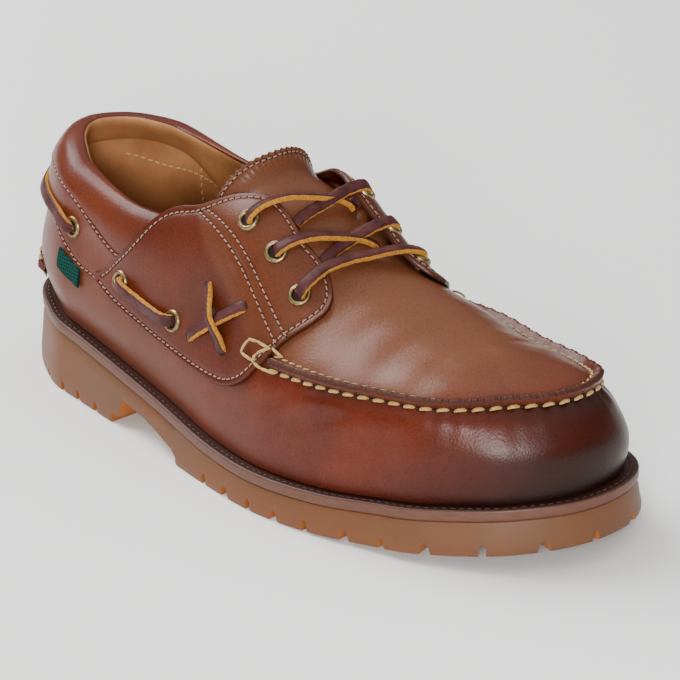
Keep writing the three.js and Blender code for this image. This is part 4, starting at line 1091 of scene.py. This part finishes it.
def raised_seam(name, start, end, level, count, tall, lean):
    """Ridge along a level, pinched in where each stitch pulls it together, and the turns that it follows."""
    around = np.linspace(start, end, count)
    run = run_along(bare(around, np.full(count, level)))
    taper = smooth_step(np.minimum(run, run[-1] - run), -2.5, 6)
    profile = round_off(RIDGE_PROFILE, 28, loop=False)
    pinch = 1 - 0.10 * (0.5 + 0.5 * np.cos(2 * np.pi * run / STITCH_PITCH))
    rough = 0.10 * np.sin(run * 2.9) + 0.08 * np.sin(run * 5.3 + 1)
    span = UP_SPANS[2] if level < 2 else UP_SPANS[3]
    up = level + profile[None, :, 0] * RIDGE_WIDTH / span * (0.55 + 0.45 * taper[:, None])
    height = profile[None, :, 1] * tall * (taper * pinch)[:, None] + rough[:, None] * (profile[None, :, 1] > 0.9)
    points = skin(np.broadcast_to(around[:, None], up.shape), up, height + 0.2)
    points[..., 2] += np.maximum(height, 0) * lean
    faces = grid_faces(count, 28)
    column = np.arange(len(faces)) % 27
    kinds = np.where((column >= 9) & (column <= 15), 1, 0)
    seam = turn_out(new_object(name, points.reshape(-1, 3), faces, [leather, edge_leather], kinds))
    # the ridge leather is burnished darker, with painted shade along both its feet
    mark(seam, "burnish_and_painted_shade", np.broadcast_to(0.28 + 0.3 * (np.abs(profile[None, :, 1]) < 0.3), up.shape))
    mark(seam, "tone_and_painted_sheen", np.full(up.shape, 0.1))
    return seam, around


start, end = float(beside(RIDGE_START, -1)), float(beside(RIDGE_END, 1))
seam, around = raised_seam("moc_seam", start, end, 2.0, 700, RIDGE_HEIGHT, RIDGE_LEAN)
settle(seam, "brown_leather", "plug_seam")


def level_route(around, level, lift, step):
    """Route along a seam at one level, clear of its ends."""
    turns = around[4:-4:step]
    return np.stack([turns, np.full(len(turns), level), np.full(len(turns), lift)], -1)


outer_level, inner_level = 2 - RIDGE_WIDTH * 0.56 / UP_SPANS[3], 2 + RIDGE_WIDTH * 0.46 / UP_SPANS[3]
stitch_row("moc_outer_stitches", level_route(around, outer_level, 0.75, 9), STITCH_PITCH, 5.0, 1.6, 1.3, cream_thread,
           "burgundy_lace", sink=0.35, slant=0.1, hole=(1.3, 1.1, 0.4, hole_dark))
stitch_row("moc_inner_stitches", level_route(around, inner_level, 0.0, 9), STITCH_PITCH * 0.62, 3.9, 1.3, 1.1,
           cream_thread, "burgundy_lace", sink=0.2, slant=0.3)

seam, around = raised_seam("heel_seam_ridge", -HEEL_SEAM_TURN, HEEL_SEAM_TURN, HEEL_SEAM_UP, 200, 2.6, 0)
settle(seam, "brown_leather", "heel_seam")
for name, level in (("outer", HEEL_SEAM_UP - 0.2), ("inner", HEEL_SEAM_UP + 0.2)):
    stitch_row(f"heel_{name}_stitches", level_route(around, level, 0.5, 6), STITCH_PITCH, 4.9, 1.7, 1.2, cream_thread,
               "burgundy_lace", sink=0.3, hole=(1.8, 1.4, 0.5, hole_dark))

LOCK_STITCHES = [
    # where the thread is locked at each end of the seam: share along and level of the two holes of each stitch
    [(0.539, 1.952), (0.546, 2.126)], [(0.546, 2.126), (0.563, 2.152)], [(0.563, 2.152), (0.586, 2.15)],
    [(0.539, 1.952), (0.567, 1.92)], [(0.586, 2.15), (0.568, 2.03)], [(0.568, 2.03), (0.567, 1.91)],
    [(0.567, 1.91), (0.584, 1.875)], [(0.584, 1.875), (0.61, 1.885)], [(0.59, 2.165), (0.612, 2.12)],
]
for name, side in SIDE_NAMES:
    shift = 0.0 if side < 0 else RIDGE_END - RIDGE_START
    points, faces = [], []
    for number, ((share_a, up_a), (share_b, up_b)) in enumerate(LOCK_STITCHES):
        t = np.linspace(0, 1, 9)
        share = share_a + (share_b - share_a) * t
        lift = 2.5 + 0.9 * np.sin(np.pi * t) + 0.15 * (number % 3)
        line = skin(beside(share + shift, side), up_a + (up_b - up_a) * t, lift)
        middle, ahead = line[4], line[-1] - line[0]
        halfway = beside((share_a + share_b) / 2 + shift, side)
        normal = outward(np.array([halfway]), np.array([(up_a + up_b) / 2]))[0]
        some, more = stitch_mesh([middle], [ahead], [normal], np.linalg.norm(ahead) + 0.8, 1.25, 1.0, 0.3)
        faces += (more + len(some) * number).tolist()
        points.append(some)
    locks = new_object(f"moc_lock_stitches_{name}", np.concatenate(points), faces, [cream_thread])
    settle(turn_out(locks), "burgundy_lace")


# Eyelets: brass rings with an antique finish, rolled over the leather: three on each eyestay and
# three along each side.
EYELET_BORE = 2.7
THROAT_EYELETS = [(0.487, 3.01), (0.536, 2.93), (0.585, 2.79)]
MEDIAL_UP = 0.17
SIDE_EYELETS = [(0.157, 2.08), (0.277, 1.97), (0.394, 1.94)]
# Rolled brass, blackened and wiped back: dull gold on the high places and brown in the low ones, in
# spots 1.6 mm across
brass, tree, shader, place = new_material("antique brass", Metallic=1.0)
worn = add(tree, "TexNoise", {"Vector": place, "Scale": 1000 / 1.6, "Detail": 4, "Roughness": 0.7})
share = add(tree, "MapRange", {0: worn, 1: 0.35, 2: 0.7, 3: 0, 4: 1})
colour = add(tree, "Mix", {0: share, 6: srgb("#a89268"), 7: srgb("#5a4a30")}, 2, data_type="RGBA")
tree.links.new(colour, shader.inputs["Base Color"])
tree.links.new(add(tree, "MapRange", {0: worn, 1: 0.3, 2: 0.7, 3: 0.28, 4: 0.48}), shader.inputs["Roughness"])
tree.links.new(add(tree, "Bump", {"Height": worn, "Distance": 0.00005, "Strength": 0.5}), shader.inputs["Normal"])
RING_STEPS = 40
SECTION_STEPS = 26
RING_PROFILE = round_off([
    # distance from the eyelet's middle, height over the leather
    (2.45, -2.6), (2.5, -0.8), (2.62, 0.35), (3.0, 1.05), (3.6, 1.35), (4.2, 1.1), (4.6, 0.45), (4.72, -0.3),
], SECTION_STEPS, loop=False)


def seat(place, side):
    """Middle and outward direction of an eyelet."""
    shift = MEDIAL_SHIFT if side > 0 and place[1] > 2.5 else 0
    around = np.array([float(beside(place[0] + shift, side))])
    up = np.array([place[1] + (MEDIAL_UP if side > 0 and place[1] > 2.5 else 0)])
    return bare(around, up)[0], outward(around, up)[0]


def plane_axes(normal):
    """Two directions at right angles in the plane of an eyelet."""
    first = np.cross(normal, [0, 0, 1.0])
    first /= np.linalg.norm(first)
    return first, np.cross(normal, first)


turn = np.linspace(0, 2 * np.pi, RING_STEPS, endpoint=False)
for name, side in SIDE_NAMES:
    seats = [("throat", i, place, FACE) for i, place in enumerate(THROAT_EYELETS)]
    seats += [("side", i, place, FACE if i else REAR_FACE) for i, place in enumerate(SIDE_EYELETS)]
    for kind, i, place, lift in seats:
        middle, normal = seat(place, side)
        if kind == "throat" and side > 0:
            lift += float(stand_off(place[0] + MEDIAL_SHIFT, place[1] + MEDIAL_UP))
        a, b = plane_axes(normal)
        circle = np.cos(turn)[:, None] * a + np.sin(turn)[:, None] * b
        away, high = RING_PROFILE[None, :, :1], RING_PROFILE[None, :, 1:]
        ring = middle + circle[:, None, :] * away + normal * (high + lift - 0.15)
        made = new_object(f"{kind}_eyelet_ring_{name}_{i + 1}", ring.reshape(-1, 3),
                          grid_faces(RING_STEPS, SECTION_STEPS, loop_rows=True), [brass])
        settle(turn_out(made), "antique_brass", f"{kind}_eyelet_{name}_{i + 1}")
        # a disc of painted shadow fills the bore
        disc = np.concatenate([middle[None], middle + circle * EYELET_BORE]) + normal * (lift + 0.06)
        faces = [[0, 1 + k, 1 + (k + 1) % RING_STEPS] for k in range(RING_STEPS)]
        settle(new_object(f"{kind}_eyelet_bore_{name}_{i + 1}", disc, faces, [hole_dark]), "antique_brass")


# Lace: one flat thong of oiled leather with a burgundy grain face. Its sides and back are mustard
# suede, rough where it was cut.

# Oiled side leather, finished burgundy on its grain face: dull, with clouds 5 mm across where it is rubbed
burgundy, tree, shader, place = new_material("oiled lace leather", Roughness=0.5, Specular_IOR_Level=0.22)
clouds = add(tree, "TexNoise", {"Vector": place, "Scale": 1000 / 5, "Detail": 4, "Roughness": 0.65})
share = add(tree, "MapRange", {0: clouds, 1: 0.35, 2: 0.68, 3: 0, 4: 1})
colour = add(tree, "Mix", {0: share, 6: srgb("#351315"), 7: srgb("#522827")}, 2, data_type="RGBA")
tree.links.new(colour, shader.inputs["Base Color"])
grain = add(tree, "TexNoise", {"Vector": place, "Scale": 1000 / 0.8, "Detail": 3, "Roughness": 0.6})
tree.links.new(add(tree, "Bump", {"Height": grain, "Distance": 0.0001, "Strength": 0.6}), shader.inputs["Normal"])
# Its flesh side, dyed through and never finished: a rough golden nap with tufts 0.7 mm across
suede, tree, shader, place = new_material("mustard suede", Roughness=0.95, Sheen_Weight=0.4, Sheen_Roughness=0.5,
                                          Sheen_Tint=srgb("#e0a850"))
nap = add(tree, "TexNoise", {"Vector": place, "Scale": 1000 / 0.7, "Detail": 4, "Roughness": 0.7})
share = add(tree, "MapRange", {0: nap, 1: 0.35, 2: 0.65, 3: 0, 4: 1})
colour = add(tree, "Mix", {0: share, 6: srgb("#8a560e"), 7: srgb("#c98a26")}, 2, data_type="RGBA")
tree.links.new(colour, shader.inputs["Base Color"])
tree.links.new(add(tree, "Bump", {"Height": nap, "Distance": 0.0003, "Strength": 0.9}), shader.inputs["Normal"])
LACE_SECTION = [
    # across, up: a flat strip with its cut corners worn round
    (-2.3, -0.95), (-2.05, -1.22), (-1.0, -1.3), (1.0, -1.3), (2.05, -1.22), (2.3, -0.95), (2.3, 0.8),
    (2.1, 1.15), (1.0, 1.28), (-1.0, 1.28), (-2.1, 1.15), (-2.3, 0.8),
]
# 0 for the faces of the section that have the burgundy grain, 1 for those in suede
LACE_FACES = [1, 1, 1, 1, 1, 1, 0, 0, 0, 0, 0, 1]


def thong(name, stops, normals, replaced, rolls, steps):
    """Length of lace through a few places, its grain face turned out and rolled by degrees on its way."""
    path = round_off(stops, steps, loop=False)
    face = round_off(normals, steps, loop=False)
    ahead = directions(path)
    side = np.cross(face, ahead)
    side /= np.linalg.norm(side, axis=1, keepdims=True)
    face = np.cross(ahead, side)
    angle = np.radians(np.interp(np.linspace(0, 1, steps), np.linspace(0, 1, len(rolls)), rolls))[:, None]
    side, face = side * np.cos(angle) + face * np.sin(angle), face * np.cos(angle) - side * np.sin(angle)
    run = np.linspace(0, run_along(path)[-1], steps)
    uneven = (1 + 0.05 * np.sin(run * 1.7) + 0.03 * np.sin(run * 4.1 + 2))[:, None]
    stack = np.stack([path + side * a * uneven + face * b for a, b in LACE_SECTION], 1)
    count = len(LACE_SECTION)
    faces = grid_faces(steps, count, loop_columns=True)
    kinds = [LACE_FACES[k % count] for k in range(len(faces))] + [1, 1]
    ends = [list(range(count))[::-1], [(steps - 1) * count + k for k in range(count)]]
    made = turn_out(new_object(name, stack.reshape(-1, 3), faces.tolist() + ends, [burgundy, suede], kinds))
    settle(made, "burgundy_lace", *replaced)


def throat_thong(name, route, replaced, rolls):
    """Lace over the throat, along (share, across, lift) places."""
    share, across, lift = np.array(route, float).T
    around = np.where(across < 0, beside(share, -1), beside(share, 1))
    thong(name, over(share, across, lift), outward(around, 4 - np.abs(across)), replaced, rolls, 90)


def crossing(share, across, toward, reach, high, low):
    """Route from an eyelet over its eyestay to a place under the other eyestay's edge."""
    up = 2.4 if across > 0 else 0.0
    stops = [(0.05, 0.035, 4.3 + up), (0.16, 0.14, 4.6 + up), (0.34, 0.32, 3.7 + up * 0.5), (0.55, 0.55, high),
             (0.78, 0.8, (high + low) / 2 + 0.3), (0.93, 0.95, low + 0.2)]
    route = [(share + (toward - share) * a, across + (reach - across) * b, lift) for a, b, lift in stops]
    return [(share, across, -2.5), (share, across * 0.995, 2.0 + up), *route, (toward, reach, low - 0.8)]


EYELET_OUT = [4 - up for _, up in THROAT_EYELETS]
near = [share for share, _ in THROAT_EYELETS]
far = [share + MEDIAL_SHIFT for share in near]
FAR_OUT = [out - MEDIAL_UP for out in EYELET_OUT]
for name, eyelet, dive, heights, rolls in (
    ("1_over", (near[0], -EYELET_OUT[0]), (0.5275, 0.56), (2.6, 0.0), [-10, -30, -42, -36, -15]),
    ("1_under", (far[0], FAR_OUT[0]), (0.527, -0.54), (1.6, -0.4), [0, -10, -6, 0, 4]),
    ("2_over", (near[1], -EYELET_OUT[1]), (0.583, 0.5), (2.4, 0.0), [-8, -26, -36, -34, -15]),
    ("2_under", (far[1], FAR_OUT[1]), (0.577, -0.6), (1.6, -0.2), [0, 6, 4, 0, 0]),
):
    replaced = (f"throat_lace_crossing_{name[0]}",) if name.endswith("over") else ()
    throat_thong(f"lace_crossing_{name}", crossing(*eyelet, *dive, *heights), replaced, rolls)
out = EYELET_OUT[2]
bar = [(near[2], -out, -2.5), (near[2], -out, 2.0), (near[2] + 0.001, -out * 0.96, 4.9),
       (near[2] + 0.002, -out * 0.84, 5.6), (near[2] + 0.004, -out * 0.6, 5.0), (near[2] + 0.009, -out * 0.25, 3.4),
       (near[2] + 0.013, 0.02, 2.9), (near[2] + 0.017, out * 0.3, 4.2), (near[2] + 0.021, out * 0.55, 5.8),
       (near[2] + 0.024, out * 0.75, 6.6), (far[2], FAR_OUT[2] * 0.96, 6.4), (far[2], FAR_OUT[2], 3.8),
       (far[2], FAR_OUT[2], -1.5)]
throat_thong("lace_bar", bar, ("throat_lace_bar",), [0, -14, -18, -12, 0])


def side_thong(name, route, replaced, rolls):
    """Lace along a side, along (turn, level, lift) places."""
    turns, levels, lifts = np.array(route, float).T
    thong(name, skin(turns, levels, lifts), outward(turns, levels), replaced, rolls, 80)


# share of the way between the two eyelets, lift over the form: the lace dives into the eyelet at both ends
SIDE_DIPS = [(0, -2.2), (0.005, 1.8), (0.05, 4.6), (0.16, 5.0), (0.35, 3.9), (0.5, 3.6), (0.65, 3.9), (0.84, 5.0),
             (0.95, 4.6), (0.995, 1.8), (1, -2.2)]
# for each leg of the cross, its two ends as share along and height, its rise over the other leg, its roll
CROSS_LEGS = [((0.447, 0.755), (0.5, 0.52), 2.6, -28), ((0.427, 0.52), (0.522, 0.73), 0.4, 26)]
for name, side in SIDE_NAMES:
    (share_a, up_a), (share_b, up_b) = SIDE_EYELETS[1:]
    route = [(beside(share_a + (share_b - share_a) * t, side),
              up_a + (up_b - up_a) * t - 0.05 * math.sin(math.pi * t), lift) for t, lift in SIDE_DIPS]
    side_thong(f"side_lace_thong_{name}", route, (f"side_lace_{name}",), [0, -12 * side, -18 * side, -12 * side, 0])
    for number, ((share_a, height_a), (share_b, height_b), rise, roll) in enumerate(CROSS_LEGS):
        route = []
        for t, lift in ((0, -1.2), (0.03, 1.2), (0.08, 2.6), (0.2, 3.3), (0.35, 3.5 + rise * 0.6), (0.5, 3.5 + rise),
                        (0.65, 3.5 + rise * 0.6), (0.8, 3.3), (0.92, 2.6), (0.97, 1.2), (1, -1.2)):
            turn_at = beside(share_a + (share_b - share_a) * t, side)
            height = COLLAR_HEIGHT * (height_a + (height_b - height_a) * t)
            route.append((turn_at, float(up_at(np.array([turn_at]), np.array([height]))[0]), lift))
        side_thong(f"side_cross_leg_{name}_{number + 1}", route, () if number else (f"side_cross_{name}",),
                   [0, roll * side, roll * side, 0])
        ends = np.array([route[0], route[-1]])
        # painted shadow in the slits where the lace goes through the leather
        normals = outward(ends[:, 0], ends[:, 1])
        spots = skin(ends[:, 0], ends[:, 1], FACE + 0.02)
        ahead = np.repeat([np.cross(normals[0], spots[1] - spots[0])], 2, axis=0)
        points, faces = stitch_mesh(spots, ahead, normals, 3.6, 1.0, 0.3, 0.0)
        slits = new_object(f"side_cross_slits_{name}_{number + 1}", points, faces, [hole_dark])
        settle(turn_out(slits), "brown_leather")

share, up = SIDE_EYELETS[0]
end = float(beside(share, -1))
route = []
for part in np.linspace(-1, 1, 31):
    reach = abs(part)
    turn_at = end * part
    height = COLLAR_HEIGHT * (0.795 - 0.06 * reach ** 3)
    level = float(up_at(np.array([turn_at]), np.array([height]))[0])
    lift = REAR_FACE + 1.3 + 1.4 * smooth_step(reach, 0.82, 0.95)
    if reach > 0.98:
        level, lift = up, 3.2
    route.append((turn_at, level, float(lift)))
route = [(route[0][0], up, -1.5)] + route + [(route[-1][0], up, -1.5)]
side_thong("heel_lace_thong", route, ("heel_lace",), [0, 26, 20, 0, -20, -26, 0])


# Side tag: a short piece of plain green woven tape, folded with its cut ends inside and caught in the
# quarter's lower seam on the lateral side, where it hangs flat against the wall.
TAG_TURNS = (2.79, 3.29)
TAG_TOP = (61.4, 56.6)
TAG_DROP = 8.1
# Woven rayon tape: a matt, close plain weave, the weft a little lighter than the warp. Its threads are drawn
# 0.7 mm apart, coarser than the real 0.3, so that they show
woven, tree, shader, place = new_material("green woven tape", Roughness=0.85, Specular_IOR_Level=0.15)
weft = add(tree, "TexWave", {"Vector": place, "Scale": 1000 / 0.7 / 6.283, "Distortion": 0.6}, 1, bands_direction="Z")
warp = add(tree, "TexWave", {"Vector": place, "Scale": 1000 / 0.7 / 6.283, "Distortion": 0.6}, 1, bands_direction="X")
weave = add(tree, "Math", {0: weft, 1: warp}, operation="MULTIPLY")
colour = add(tree, "Mix", {0: weave, 6: srgb("#022b25"), 7: srgb("#084a41")}, 2, data_type="RGBA")
tree.links.new(colour, shader.inputs["Base Color"])
tree.links.new(add(tree, "Bump", {"Height": weave, "Distance": 0.00012, "Strength": 0.8}), shader.inputs["Normal"])
t = np.linspace(0, 1, 22)
down = np.linspace(0, 1, 20)
tops = TAG_TOP[0] + (TAG_TOP[1] - TAG_TOP[0]) * t
around = np.broadcast_to((TAG_TURNS[0] + (TAG_TURNS[1] - TAG_TURNS[0]) * t)[:, None], (22, 20))
up = up_at(around, tops[:, None] - TAG_DROP * down[None, :])
lift = 1.75 + 0.35 * np.sin(np.pi * down)[None, :] * np.cos(t * 5)[:, None] * 0.5 - 0.3 * (1 - down)[None, :]
panel, _ = slab("side_tag_tape", around, up, lift, 0.5, [woven, woven], 0.4)
settle(panel, "green_woven", "side_tag")


# Camera: a long lens, 48 degrees round from the lateral side and 23 up, as in the photograph. The aim is
# the point of the shoe that the photograph shows at AIM_PIXEL.
AIM = np.array([150.0, 0, 50])
AZIMUTH, ELEVATION, ROLL = math.radians(48.0), math.radians(23.38), math.radians(0.53)
DISTANCE = 1629.5
PIXELS_PER_MM = 2.53
AIM_PIXEL = (309.45, 325.16)
PICTURE_SIDE = 680
SENSOR_WIDTH = 36
direction = Vector((math.sin(AZIMUTH) * math.cos(ELEVATION), -math.cos(AZIMUTH) * math.cos(ELEVATION),
                    math.sin(ELEVATION)))
camera_data = bpy.data.cameras.new("camera")
camera_data.sensor_width = SENSOR_WIDTH
camera_data.lens = PIXELS_PER_MM * DISTANCE * SENSOR_WIDTH / PICTURE_SIDE
camera_data.shift_x = 0.5 - AIM_PIXEL[0] / PICTURE_SIDE
camera_data.shift_y = AIM_PIXEL[1] / PICTURE_SIDE - 0.5
camera_data.clip_end = 20
camera = bpy.data.objects.new("camera", camera_data)
bpy.context.scene.collection.objects.link(camera)
target = Vector((AIM + SHIFT) / 1000)
turn = direction.to_track_quat("Z", "Y").to_matrix() @ Matrix.Rotation(-ROLL, 3, "Z")
camera.matrix_world = Matrix.Translation(target + direction * DISTANCE / 1000) @ turn.to_4x4()
bpy.context.scene.camera = camera


# Studio: a seamless pale sweep under a large soft light above and behind the heel, which draws the shadow in
# front of the toe. A smaller one in front gives the toe its highlight, and the room is dark low down.
# Painted board, rolled on matt: an even pale ground with no gloss
SWEEP = 4000
sweep = new_material("studio sweep paint", Roughness=0.9, Specular_IOR_Level=0.1, Base_Color=srgb("#f6f5f4"))[0]
corners = [(-SWEEP, -SWEEP, 0), (SWEEP, -SWEEP, 0), (SWEEP, SWEEP, 0), (-SWEEP, SWEEP, 0)]
floor = new_object("studio_floor", corners, [[0, 1, 2, 3]], [sweep], smooth=False)
world = bpy.data.worlds.new("studio air")
bpy.context.scene.world = world
world.use_nodes = True
tree = world.node_tree
background = tree.nodes["Background"]
background.inputs["Color"].default_value = srgb("#f4f3f1")
up = add(tree, "SeparateXYZ", {0: add(tree, "TexCoord", out="Generated")}, 2)
tree.links.new(add(tree, "MapRange", {0: up, 1: 0.2, 2: 0.9, 3: 0.06, 4: 1.26}), background.inputs["Strength"])


def softbox(name, where, aim, size, watts):
    """Flat rectangular light that faces a point."""
    data = bpy.data.lights.new(name, "AREA")
    data.shape = "RECTANGLE"
    data.size, data.size_y = size
    data.energy = watts
    made = bpy.data.objects.new(name, data)
    made.location = Vector(where)
    made.rotation_euler = (Vector(aim) - Vector(where)).to_track_quat("-Z", "Y").to_euler()
    bpy.context.scene.collection.objects.link(made)


softbox("top_softbox", (-1.46, -0.28, 1.83), (0, 0, 0.03), (1.5, 1.5), 70)
softbox("front_softbox", (0.81, -0.82, 0.43), (0.09, 0, 0.05), (0.27, 0.27), 13.5)
